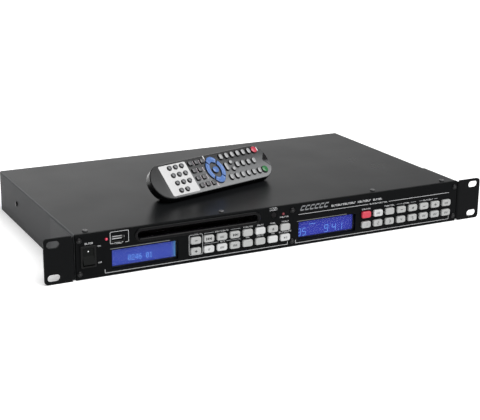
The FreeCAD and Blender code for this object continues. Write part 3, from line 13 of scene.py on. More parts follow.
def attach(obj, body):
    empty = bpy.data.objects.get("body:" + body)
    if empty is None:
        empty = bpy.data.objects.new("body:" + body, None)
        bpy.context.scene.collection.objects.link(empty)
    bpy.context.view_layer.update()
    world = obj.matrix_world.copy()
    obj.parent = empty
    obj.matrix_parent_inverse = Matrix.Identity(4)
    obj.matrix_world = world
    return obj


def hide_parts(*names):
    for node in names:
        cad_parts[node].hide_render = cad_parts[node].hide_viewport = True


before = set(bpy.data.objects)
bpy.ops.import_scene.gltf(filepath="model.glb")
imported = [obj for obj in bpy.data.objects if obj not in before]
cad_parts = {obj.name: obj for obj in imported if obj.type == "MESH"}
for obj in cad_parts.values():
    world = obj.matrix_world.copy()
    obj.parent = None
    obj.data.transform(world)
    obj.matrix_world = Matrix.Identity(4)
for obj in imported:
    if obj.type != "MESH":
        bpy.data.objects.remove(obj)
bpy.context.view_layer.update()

MM = 0.001

# ---------------------------------------------------------------- places shared with the CAD
CASE_TOP = 21.2
CASE_BOTTOM = -22.0
HALF_CASE = 212.0
CASE_DEPTH = 246.0
KEY_FACE_Y = -2.05
KEY_PRINT_Y, KEY_PRINT_BACK = KEY_FACE_Y - 0.02, KEY_FACE_Y + 0.03
KEY_COLUMNS = {"cd": (-92.9, 13.81), "tuner": (98.1, 14.2)}
KEY_ROWS = {"a": 0.1, "b": -10.5}
CD_DISPLAY_X, TUNER_DISPLAY_X, DISPLAY_Z = -143.6, 52.8, -6.6
GLASS_W, GLASS_H, GLASS_Y = 64.0, 16.0, 4.7
BOARD_PARTS_Z = -12.4    # top of the boards in the case, where their parts stand
USB_X = -170.5
ROCKER_PIVOT = (-199.8, 2.6, 0)

SCREW_HEAD_H = 1.3
PANEL_SCREW_X, PANEL_SCREW_Z = (-208.0, 12.2, 208.0), (-15.875, 15.875)
LID_SCREW_X, LID_SCREW_Y = (-198.5, -60.4, 111.8, 198.5), 10.2
SIDE_SCREW_Y, SIDE_SCREW_Z = 185.6, 0.9
EAR_THICK, EAR_SCREW_Y, EAR_SCREW_Z = 2.0, (22.0, 52.0), -10.0
REAR_SCREW_X, REAR_SCREW_Y, REAR_SCREW_Z = (-190.0, 0.0, 190.0), CASE_DEPTH + 1.2, 16.2

PHONO_X, PHONO_Z = (60.0, 76.0), (-7.0, 7.0)
AERIAL_X, AERIAL_Z = 130.0, 0.0

REMOTE_WIDTH, REMOTE_RIM = 40.5, 8.0
REMOTE_LIE_GAP = 0.05    # between the remote and the cover
REMOTE_TILT, REMOTE_TURN = math.radians(44.3), math.radians(15.8)
REMOTE_LIFT = REMOTE_WIDTH / 2 * math.sin(REMOTE_TILT) + REMOTE_RIM * math.cos(REMOTE_TILT)
REMOTE_PLACE = Vector((-35.6, 82.1, CASE_TOP + REMOTE_LIE_GAP + REMOTE_LIFT))
REMOTE = (Matrix.Translation(REMOTE_PLACE) @ Matrix.Rotation(REMOTE_TURN, 4, "Z")
          @ Matrix.Rotation(REMOTE_TILT, 4, "X"))


# ---------------------------------------------------------------- materials
def srgb(r, g, b):
    """Linear colour of 0-255 screen values."""
    def lin(c):
        c /= 255
        return c / 12.92 if c <= 0.04045 else ((c + 0.055) / 1.055) ** 2.4
    return (lin(r), lin(g), lin(b), 1.0)


def node(tree, kind, **inputs):
    n = tree.nodes.new(kind)
    for name, value in inputs.items():
        n.inputs[name.replace("_", " ")].default_value = value
    return n


def new_material(name):
    mat = bpy.data.materials.new(name)
    mat.use_nodes = True
    tree = mat.node_tree
    tree.nodes.clear()
    out = tree.nodes.new("ShaderNodeOutputMaterial")
    bsdf = tree.nodes.new("ShaderNodeBsdfPrincipled")
    tree.links.new(bsdf.outputs[0], out.inputs[0])
    coord = tree.nodes.new("ShaderNodeTexCoord")
    return mat, tree, bsdf, coord.outputs["Object"]


def noise(tree, vector, size_mm, detail=3.0, stretch=None):
    """Noise whose blobs are about size_mm across; stretch scales the axes first."""
    if stretch:
        mapping = tree.nodes.new("ShaderNodeMapping")
        mapping.inputs["Scale"].default_value = stretch
        tree.links.new(vector, mapping.inputs["Vector"])
        vector = mapping.outputs["Vector"]
    n = node(tree, "ShaderNodeTexNoise", Scale=1000.0 / size_mm, Detail=detail)
    tree.links.new(vector, n.inputs["Vector"])
    return n.outputs["Fac"]


def ramp(tree, factor, stops):
    r = tree.nodes.new("ShaderNodeValToRGB")
    elements = r.color_ramp.elements
    while len(elements) < len(stops):
        elements.new(0.5)
    for element, (position, colour) in zip(elements, stops):
        element.position = position
        element.color = colour
    tree.links.new(factor, r.inputs["Fac"])
    return r.outputs["Color"]


def spread(tree, factor, low, high, source=(0.3, 0.7)):
    m = tree.nodes.new("ShaderNodeMapRange")
    m.inputs["From Min"].default_value = source[0]
    m.inputs["From Max"].default_value = source[1]
    m.inputs["To Min"].default_value = low
    m.inputs["To Max"].default_value = high
    tree.links.new(factor, m.inputs["Value"])
    return m.outputs["Result"]


def mixed(tree, factor, first, second, how="MIX"):
    """Blend of two colours; each input is a socket or a plain value."""
    m = tree.nodes.new("ShaderNodeMix")
    m.data_type = "RGBA"
    m.blend_type = how
    for socket, value in ((m.inputs["Factor"], factor), (m.inputs[6], first), (m.inputs[7], second)):
        if isinstance(value, bpy.types.NodeSocket):
            tree.links.new(value, socket)
        else:
            socket.default_value = value
    return m.outputs[2]


def maths(tree, operation, *values):
    """Result of a sum or comparison; each value is a socket or a plain number."""
    m = tree.nodes.new("ShaderNodeMath")
    m.operation = operation
    for socket, value in zip(m.inputs, values):
        if isinstance(value, bpy.types.NodeSocket):
            tree.links.new(value, socket)
        else:
            socket.default_value = value
    return m.outputs[0]


def total(tree, first, second):
    return maths(tree, "ADD", first, second)


def along(tree, where, direction):
    """How far a place lies along a direction."""
    axis = tree.nodes.new("ShaderNodeVectorMath")
    axis.operation = "DOT_PRODUCT"
    axis.inputs[1].default_value = direction
    tree.links.new(where, axis.inputs[0])
    return axis.outputs["Value"]


def coordinate(tree, where, axis):
    """One of a place's X, Y and Z."""
    axes = tree.nodes.new("ShaderNodeSeparateXYZ")
    tree.links.new(where, axes.inputs[0])
    return axes.outputs[axis]


def grey(level):
    return (level,) * 3 + (1.0,)


def set_sockets(bsdf, sockets):
    for socket, value in sockets.items():
        bsdf.inputs[socket.replace("_", " ")].default_value = value


def bump(tree, bsdf, height, depth_mm, strength=1.0):
    b = tree.nodes.new("ShaderNodeBump")
    b.inputs["Strength"].default_value = strength
    b.inputs["Distance"].default_value = depth_mm * MM
    tree.links.new(height, b.inputs["Height"])
    tree.links.new(b.outputs["Normal"], bsdf.inputs["Normal"])


PATCH_MM = 30.0          # size of the broad unevenness of a finish
ROUGH_VARY = 0.06


def surface(name, colour, rough, grain_mm=1.0, depth_mm=0.02, vary=0.08, metallic=0.0,
            stretch=None, **sockets):
    """A surface with fine grain in its height, broad unevenness in colour and sheen."""
    mat, tree, bsdf, where = new_material(name)
    broad = noise(tree, where, PATCH_MM, 4.0)
    fine = noise(tree, where, grain_mm, 2.0, stretch)
    low = tuple(c * (1 - vary) for c in colour[:3]) + (1.0,)
    high = tuple(min(1.0, c * (1 + vary)) for c in colour[:3]) + (1.0,)
    half = spread(tree, total(tree, broad, fine), 0.0, 1.0, (0.0, 2.0))
    tree.links.new(ramp(tree, half, [(0.35, low), (0.65, high)]), bsdf.inputs["Base Color"])
    tree.links.new(spread(tree, half, rough - ROUGH_VARY, rough + ROUGH_VARY),
                   bsdf.inputs["Roughness"])
    bsdf.inputs["Metallic"].default_value = metallic
    set_sockets(bsdf, sockets)
    bump(tree, bsdf, fine, depth_mm)
    return mat


COAT_GRAIN_MM = 0.75
# where the painted highlight over the cover's bends begins, and where the painted lighter grey of the
# sides starts
FOLD_START, FOLD_END = HALF_CASE - 1.6, HALF_CASE - 0.05


def powder_coat():
    """Fine-textured dark powder coat under a soft sheen.

    Its colour is painted lighter over the cover's bends, from FOLD_START, as a painted highlight, and
    settles on the sides to a lighter grey that is a painted reflection of the floor.
    """
    mat, tree, bsdf, where = new_material("powder_coat")
    cells = node(tree, "ShaderNodeTexVoronoi", Scale=1000 / COAT_GRAIN_MM)
    cells.feature = "SMOOTH_F1"
    tree.links.new(where, cells.inputs["Vector"])
    broad = noise(tree, where, 60, 4.0)
    outward = maths(tree, "ABSOLUTE", coordinate(tree, where, "X"))
    folded = spread(tree, outward, 0.0, 1.0, (FOLD_START * MM, FOLD_END * MM))
    # painted highlight over the bends, then a lighter grey on the sides that is a painted reflection of
    # the floor
    painted_bend_and_side_light = ramp(tree, folded, [(0.0, srgb(19, 20, 21)), (0.12, srgb(58, 60, 61)),
                                 (0.5, srgb(98, 100, 101)), (0.85, srgb(84, 85, 87)),
                                 (1.0, srgb(49, 50, 52))])
    uneven = ramp(tree, broad, [(0.3, grey(0.88)), (0.7, grey(1.12))])
    tree.links.new(mixed(tree, 1.0, painted_bend_and_side_light, uneven, "MULTIPLY"), bsdf.inputs["Base Color"])
    tree.links.new(total(tree, spread(tree, broad, 0.27, 0.32), spread(tree, folded, 0.0, 0.2, (0, 1))),
                   bsdf.inputs["Roughness"])
    bsdf.inputs["Specular IOR Level"].default_value = 0.1
    bump(tree, bsdf, cells.outputs["Distance"], 0.03, 0.2)
    return mat


def by_axis(name, axis, low, high, first, second, rough, **sockets):
    """Finish whose colour runs from first to second between two places, in mm, on one axis."""
    mat, tree, bsdf, where = new_material(name)
    fine = noise(tree, where, 0.3, 2.0)
    share = spread(tree, coordinate(tree, where, axis), 0.0, 1.0, (low * MM, high * MM))
    colour = mixed(tree, share, first, second)
    worn = ramp(tree, fine, [(0.3, grey(0.85)), (0.7, grey(1.15))])
    tree.links.new(mixed(tree, 1.0, colour, worn, "MULTIPLY"), bsdf.inputs["Base Color"])
    tree.links.new(spread(tree, fine, rough - 0.05, rough + 0.05), bsdf.inputs["Roughness"])
    set_sockets(bsdf, sockets)
    bump(tree, bsdf, fine, 0.008)
    return mat


def clear_window():
    """Clear acrylic with the faintest haze in its gloss."""
    mat, tree, bsdf, where = new_material("clear_window")
    bsdf.inputs["Base Color"].default_value = (0.1, 0.11, 0.15, 1.0)
    bsdf.inputs["Alpha"].default_value = 0.04
    tree.links.new(spread(tree, noise(tree, where, 12), 0.05, 0.12), bsdf.inputs["Roughness"])
    return mat


GLOW_REACH, GLOW_SHARPNESS = 5.5, 2.2


def backlit(name, deep, bright, strength, glow_x=None):
    """Backlit display glass, unevenly lit; glow_x is where the lamp at its end shines through."""
    mat, tree, bsdf, where = new_material(name)
    broad = noise(tree, where, 38, 2.0)
    colour = ramp(tree, broad, [(0.3, deep), (0.7, bright)])
    if glow_x is not None:
        near = spread(tree, coordinate(tree, where, "X"), 0.0, 1.0,
                      ((glow_x - GLOW_REACH) * MM, glow_x * MM))
        colour = mixed(tree, maths(tree, "POWER", near, GLOW_SHARPNESS), colour, srgb(72, 122, 160))
    tree.links.new(colour, bsdf.inputs["Base Color"])
    tree.links.new(colour, bsdf.inputs["Emission Color"])
    bsdf.inputs["Emission Strength"].default_value = strength
    bsdf.inputs["Specular IOR Level"].default_value = 0.06
    tree.links.new(spread(tree, noise(tree, where, 2.0), 0.2, 0.34), bsdf.inputs["Roughness"])
    return mat


def circuit_board(name, parts_z=None):
    """Solder resist over darker traces; what stands above parts_z is dark plastic and tinned steel."""
    mat, tree, bsdf, where = new_material(name)
    cells = node(tree, "ShaderNodeTexVoronoi", Scale=140.0)
    cells.distance = "MANHATTAN"
    cells.feature = "F2"
    tree.links.new(where, cells.inputs["Vector"])
    traces = ramp(tree, cells.outputs["Distance"],
                  [(0.42, srgb(14, 62, 34)), (0.46, srgb(24, 96, 50)), (0.9, srgb(22, 88, 46))])
    if parts_z is not None:
        above = maths(tree, "GREATER_THAN", coordinate(tree, where, "Z"), (parts_z + 0.05) * MM)
        parts = ramp(tree, noise(tree, where, 26, 0.0),
                     [(0.40, srgb(26, 26, 28)), (0.47, srgb(38, 40, 46)),
                      (0.50, srgb(150, 152, 154)), (0.8, srgb(178, 180, 180))])
        traces = mixed(tree, above, traces, parts)
    tree.links.new(traces, bsdf.inputs["Base Color"])
    tree.links.new(spread(tree, noise(tree, where, 3.0), 0.3, 0.45), bsdf.inputs["Roughness"])
    bump(tree, bsdf, cells.outputs["Distance"], 0.03)
    return mat


# the face's dimming towards the battery end is a painted reflection
DIM_SPAN = (-66, -30)    # along the remote, where its face dims to the battery end
FACE_SPAN = (-0.5, -0.2)  # heights between the black rim and the grey face


def remote_face_painted_reflection(name, stops, dim, rough):
    """Satin key face with a painted reflection: its grey is painted lighter towards the near edge and
    darker towards the battery end.

    Only the flat top is grey; the rounded rim below it is the shell's glossy black.
    """
    mat, tree, bsdf, where = new_material(name)

    def place(direction, low, high, first, last):
        """Runs from first to last between low and high millimetres along a remote axis."""
        direction = REMOTE.to_3x3() @ Vector(direction)
        middle = REMOTE_PLACE.dot(direction)
        return spread(tree, along(tree, where, direction), first, last,
                      ((middle + low) * MM, (middle + high) * MM))

    half = REMOTE_WIDTH / 2
    # painted reflection: lighter towards the near edge, and darker towards the battery end
    across = ramp(tree, place((0, -1, 0), -half, half, 0.0, 1.0), stops)
    lengthwise = place((1, 0, 0), *DIM_SPAN, dim, 1.0)
    top = place((0, 0, 1), *FACE_SPAN, 0.0, 1.0)
    painted_reflection_colour = mixed(tree, 1.0, across, lengthwise, "MULTIPLY")
    tree.links.new(mixed(tree, top, srgb(9, 9, 10), painted_reflection_colour), bsdf.inputs["Base Color"])
    fine = noise(tree, where, 0.5, 2.0)
    tree.links.new(total(tree, spread(tree, fine, -0.04, 0.04), spread(tree, top, 0.2, rough, (0, 1))),
                   bsdf.inputs["Roughness"])
    bump(tree, bsdf, fine, 0.01)
    return mat


CASE = powder_coat()
PANEL = surface("panel_paint", srgb(6, 7, 8), 0.42, 0.5, 0.012, 0.12, Specular_IOR_Level=0.05)
# black paint on the ears' front; from Y 2.6 to 3.4 the side flanges are painted lighter, a painted
# reflection of the floor as on the case's sides
EAR = by_axis("ear_paint_and_painted_side_sheen", "Y", 2.6, 3.4, srgb(6, 7, 8), srgb(50, 51, 53), 0.42,
              Specular_IOR_Level=0.07)
# black oxide below the cover's top; the lid screws' heads above it are painted lighter as a painted
# glint
SCREW = by_axis("black_oxide_and_lid_glint", "Z", CASE_TOP - 0.6, CASE_TOP + 1.2, srgb(7, 7, 8),
                srgb(96, 96, 97), 0.28, Specular_IOR_Level=0.2)
STEEL = surface("zinc_plate", srgb(176, 178, 180), 0.32, 0.6, 0.008, 0.06, metallic=1.0,
                stretch=(1.0, 12.0, 1.0))
CHROME = surface("plated_shell", srgb(190, 190, 188), 0.22, 0.5, 0.004, 0.05, metallic=1.0)
SOCKET = surface("socket_liner", srgb(26, 26, 27), 0.35, 0.5, 0.006, 0.08)
INSULATOR_RED = surface("insulator_red", srgb(178, 40, 44), 0.4, 0.5, 0.006, 0.04)
INSULATOR_WHITE = surface("insulator_white", srgb(214, 212, 206), 0.4, 0.5, 0.006, 0.04)
GOLD = surface("contact_gold", srgb(214, 170, 90), 0.25, 0.4, 0.004, 0.06, metallic=1.0)
BEZEL = surface("bezel_plastic", srgb(7, 7, 8), 0.2, 0.7, 0.006, 0.1, Specular_IOR_Level=0.1)
SWITCH = surface("switch_plastic", srgb(10, 11, 11), 0.5, 0.35, 0.03, 0.12, Specular_IOR_Level=0.15)
ROCKER = surface("rocker_plastic", srgb(9, 11, 10), 0.34, 0.5, 0.012, 0.1, Specular_IOR_Level=0.08)
BLACK = surface("black_plastic", srgb(22, 22, 23), 0.5, 0.6, 0.02, 0.1)
DRIVE = surface("drive_plastic", srgb(28, 28, 30), 0.45, 0.5, 0.015, 0.1)
RUBBER = surface("roller_rubber", srgb(30, 30, 31), 0.75, 0.4, 0.03, 0.15)
KEY = surface("key_white", srgb(154, 155, 154), 0.38, 0.25, 0.010, 0.03)
KEY_BRIGHT = surface("key_bright", srgb(180, 181, 181), 0.36, 0.25, 0.010, 0.02)
KEY_RED = surface("key_red", srgb(180, 42, 62), 0.38, 0.25, 0.010, 0.05)
INK = surface("screen_print", srgb(226, 227, 228), 0.55, 0.12, 0.006, 0.04)
# print of words and lines, also used for painted highlights in the USB socket
INK_TEXT_AND_GLINT = surface("screen_print_words_and_glint", srgb(186, 187, 188), 0.55, 0.12, 0.006, 0.05)
INK_DIM_AND_GLINT = surface("screen_print_fine_and_glint", srgb(150, 152, 154), 0.55, 0.12, 0.006, 0.06)
INK_FAINT = surface("screen_print_faint", srgb(112, 114, 116), 0.55, 0.12, 0.006, 0.06)
INK_DARK = surface("key_print", srgb(26, 27, 30), 0.5, 0.12, 0.006, 0.06)
LAMP = by_axis("lamp_red", "X", -100.0, -90.0, srgb(196, 56, 80), srgb(104, 26, 36), 0.2)
SENSOR = surface("infrared_filter", srgb(9, 7, 9), 0.12, 1.5, 0.003, 0.1, Specular_IOR_Level=0.12)
WINDOW = clear_window()
BOARD = circuit_board("circuit_board")
MAIN = circuit_board("main_board_parts", BOARD_PARTS_Z)
SUPPLY = circuit_board("supply_parts", BOARD_PARTS_Z)
BLUE_CD = backlit("display_blue_cd", srgb(43, 57, 137), srgb(47, 62, 145), 0.5,
                  glow_x=CD_DISPLAY_X + GLASS_W / 2)
BLUE_TUNER = backlit("display_blue_tuner", srgb(39, 45, 132), srgb(45, 52, 142), 0.5)
SEGMENT = backlit("display_segment", srgb(80, 130, 200), srgb(92, 142, 210), 0.6)
SHELL = surface("remote_shell", srgb(8, 8, 9), 0.2, 1.2, 0.004, 0.1, Specular_IOR_Level=0.35)
# painted reflection on the key face: dark at the far edge, light at the near edge
FACE = remote_face_painted_reflection("remote_face", [(0.06, srgb(21, 21, 22)), (0.31, srgb(62, 63, 64)),
                                    (0.5, srgb(90, 91, 92)), (0.62, srgb(101, 102, 103)),
                                    (0.94, srgb(125, 126, 127))], 0.16, 0.34)
# infrared window: black over its far part, and a painted reflection in the face's grey over its near
# part
IR_WINDOW = remote_face_painted_reflection("remote_window", [(0.5, srgb(9, 8, 9)), (0.57, srgb(84, 84, 86)),
                                           (0.7, srgb(100, 101, 102))], 1.0, 0.2)
MAT_BASE = surface("remote_mat", srgb(60, 61, 63), 0.6, 0.4, 0.015, 0.1)
# black of the key skirts, which also stands for painted shade on the keys' lower sides, and of the seam
# by the infrared window
SKIRT = surface("remote_key_skirt", srgb(14, 14, 15), 0.45, 0.5, 0.01, 0.1)
DOME = surface("remote_key_grey", srgb(146, 147, 148), 0.24, 0.5, 0.006, 0.08)
DOME_DARK = surface("remote_key_dark", srgb(86, 86, 88), 0.24, 0.5, 0.006, 0.08)
DOME_NUMBER = surface("remote_key_number", srgb(92, 93, 95), 0.24, 0.5, 0.006, 0.08)
DOME_BLUE = surface("remote_key_blue", srgb(78, 110, 166), 0.24, 0.6, 0.006, 0.08)
DOME_RED = surface("remote_key_red", srgb(178, 60, 76), 0.25, 0.6, 0.006, 0.08)
DOME_GREEN = surface("remote_key_green", srgb(44, 108, 62), 0.25, 0.6, 0.006, 0.08)
PLATE = surface("remote_plate", srgb(192, 192, 192), 0.42, 0.3, 0.006, 0.03)
SCREW_WELL = surface("screw_well", srgb(12, 12, 13), 0.4, 0.3, 0.006, 0.05)
WELL = surface("remote_well", srgb(62, 63, 66), 0.4, 0.3, 0.006, 0.08)
# print of one mark on the face, and the painted highlights beside the function keys
MARK_AND_GLINT = surface("remote_mark_and_glint", srgb(188, 176, 182), 0.45, 0.3, 0.006, 0.04)

NODE_MATERIALS = {
    "base_tray": CASE, "top_cover": CASE, "sub_panel": CASE, "front_panel": PANEL,
    "rack_ears": EAR, "case_screws": SCREW, "slot_bezel": BEZEL,
    "display_windows": WINDOW, "display_modules": BLACK, "usb_socket": SOCKET,
    "indicator_lights": LAMP, "remote_sensor": SENSOR, "power_switch_housing": SWITCH,
    "power_rocker": ROCKER, "front_boards": BOARD, "drive_frame": STEEL,
    "feed_roller": RUBBER, "spindle_turntable": DRIVE, "pickup_sled": DRIVE,
    "main_board": MAIN, "power_supply": SUPPLY, "mains_inlet": BLACK, "rear_sockets": BLACK,
    "remote_upper_case": FACE, "remote_lower_case": SHELL, "remote_battery_door": SHELL,
    "remote_ir_window": IR_WINDOW,
}
BRIGHT_KEYS = ("cd_key_a6", "cd_key_b2", "cd_key_b3", "cd_key_b7", "cd_key_b8", "tuner_key_a2")


def dress_nodes():
    """Gives each CAD node its material."""
    for name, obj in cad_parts.items():
        if name in NODE_MATERIALS:
            mat = NODE_MATERIALS[name]
        elif name == "tuner_key_a1":
            mat = KEY_RED
        elif "_key_" in name:
            mat = KEY_BRIGHT if name in BRIGHT_KEYS else KEY
        else:
            mat = MAT_BASE
        for slot in obj.material_slots:
            slot.material = mat


# ---------------------------------------------------------------- mesh helpers
def link(obj):
    bpy.context.scene.collection.objects.link(obj)


class Piece:
    """Collects faces in millimetres, then becomes one object that rides on a body."""

    def __init__(self):
        self.bm = bmesh.new()
        self.materials = []

    def index(self, mat):
        if mat not in self.materials:
            self.materials.append(mat)
        return self.materials.index(mat)

    def prism(self, points, depth, mat, place=None):
        """Closed polygon of 3-D points, thickened by the vector depth."""
        place = place or Matrix.Identity(4)
        slot = self.index(mat)
        near = [self.bm.verts.new(place @ Vector(p)) for p in points]
        far = [self.bm.verts.new(place @ (Vector(p) + Vector(depth))) for p in points]
        faces = [self.bm.faces.new(near), self.bm.faces.new(list(reversed(far)))]
        count = len(points)
        for i in range(count):
            j = (i + 1) % count
            faces.append(self.bm.faces.new((near[j], near[i], far[i], far[j])))
        for face in faces:
            face.material_index = slot

    def rings(self, loops, mat, place=None, cap_first=True, cap_last=True, smooth=True):
        """Skin through closed loops that have the same number of points."""
        place = place or Matrix.Identity(4)
        slot = self.index(mat)
        rows = [[self.bm.verts.new(place @ Vector(p)) for p in loop] for loop in loops]
        count = len(loops[0])
        faces = []
        for a, b in zip(rows, rows[1:]):
            for i in range(count):
                j = (i + 1) % count
                faces.append(self.bm.faces.new((a[i], a[j], b[j], b[i])))
        if cap_first:
            faces.append(self.bm.faces.new(list(reversed(rows[0]))))
        if cap_last:
            faces.append(self.bm.faces.new(rows[-1]))
        for face in faces:
            face.material_index = slot
            face.smooth = smooth

    def make(self, name, body, replaces=()):
        """Turns the faces into an object that rides on body, and replaces the nodes named."""
        bmesh.ops.recalc_face_normals(self.bm, faces=self.bm.faces)
        mesh = bpy.data.meshes.new(name)
        for v in self.bm.verts:
            v.co *= MM
        self.bm.to_mesh(mesh)
        self.bm.free()
        for mat in self.materials:
            mesh.materials.append(mat)
        obj = bpy.data.objects.new(name, mesh)
        link(obj)
        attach(obj, body)
        if replaces:
            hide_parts(*replaces)


def rounded(cx, cy, width, height, radius, steps=5):
    """Points of a rounded rectangle, anticlockwise."""
    w, h = width / 2 - radius, height / 2 - radius
    points = []
    for sx, sy, start in ((1, -1, -90), (1, 1, 0), (-1, 1, 90), (-1, -1, 180)):
        for i in range(steps + 1):
            a = math.radians(start + 90 * i / steps)
            points.append((cx + sx * w + radius * math.cos(a), cy + sy * h + radius * math.sin(a)))
    return points


def circle(cx, cy, radius, steps=28):
    return [(cx + radius * math.cos(2 * math.pi * i / steps),
             cy + radius * math.sin(2 * math.pi * i / steps)) for i in range(steps)]


def on_front(points, y):
    """2-D points (x, z) as 3-D points in the plane at y."""
    return [(x, y, z) for x, z in points]


INK_Y, INK_BACK = -0.03, 0.02    # front and back of the print, just proud of the panel
FINE_LINE, LINE = 0.36, 0.38


def print_shape(piece, points, mat, y=INK_Y, back=INK_BACK):
    piece.prism(on_front(points, y), (0, back - y, 0), mat)


def bar(piece, x0, x1, z0, z1, mat, y=INK_Y, back=INK_BACK):
    print_shape(piece, [(x0, z0), (x1, z0), (x1, z1), (x0, z1)], mat, y, back)


SHARPEST_MITRE = 0.3     # cosine, below which a corner grows no longer


def stroke(piece, points, width, mat):
    """Line of even width through (x, z) points, mitred where it turns."""
    left, right = [], []
    for i, (x, z) in enumerate(points):
        before = Vector(points[max(i - 1, 0)])
        after = Vector(points[min(i + 1, len(points) - 1)])
        here = Vector((x, z))
        first = (here - before).normalized() if i else (after - here).normalized()
        second = (after - here).normalized() if i < len(points) - 1 else first
        bisector = (first + second).normalized()
        normal = Vector((-bisector.y, bisector.x))
        grow = width / 2 / max(SHARPEST_MITRE, normal.dot(Vector((-first.y, first.x))))
        left.append(here + normal * grow)
        right.append(here - normal * grow)
    for a, b, c, d in zip(right, right[1:], left[1:], left):
        print_shape(piece, [tuple(a), tuple(b), tuple(c), tuple(d)], mat)


def word(piece, x0, x1, z0, z1, letters):
    """Generic caption: a row of plain strokes, the size of small capitals, that spells nothing."""
    pitch = (x1 - x0) / letters
    height = z1 - z0
    line = min(0.22 * height, 0.26 * pitch)
    for i in range(letters):
        a = x0 + i * pitch
        b = a + pitch * 0.74
        kind = (i * 7 + int(abs(x0) * 3)) % 4
        bar(piece, a, a + line, z0, z1, INK_TEXT_AND_GLINT)
        if kind != 2:
            bar(piece, a + line, b, z1 - line, z1, INK_TEXT_AND_GLINT)
        if kind != 1:
            bar(piece, a + line, b, z0, z0 + line, INK_TEXT_AND_GLINT)
        if kind == 3:
            bar(piece, b - line, b, z0 + line, z1 - line, INK_TEXT_AND_GLINT)


TEXT_THICK = 0.02


def flat_text(name, body_text, x, z, size, mat):
    """Plain generic characters printed on the front plane, centred at (x, z)."""
    curve = bpy.data.curves.new(name, "FONT")
    curve.body = body_text
    curve.size = size * MM
    curve.extrude = TEXT_THICK * MM
    curve.align_x = "CENTER"
    curve.align_y = "CENTER"
    curve.materials.append(mat)
    obj = bpy.data.objects.new(name, curve)
    link(obj)
    obj.location = (x * MM, (INK_Y + TEXT_THICK) * MM, z * MM)
    obj.rotation_euler = (math.radians(90), 0, 0)
    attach(obj, "chassis")


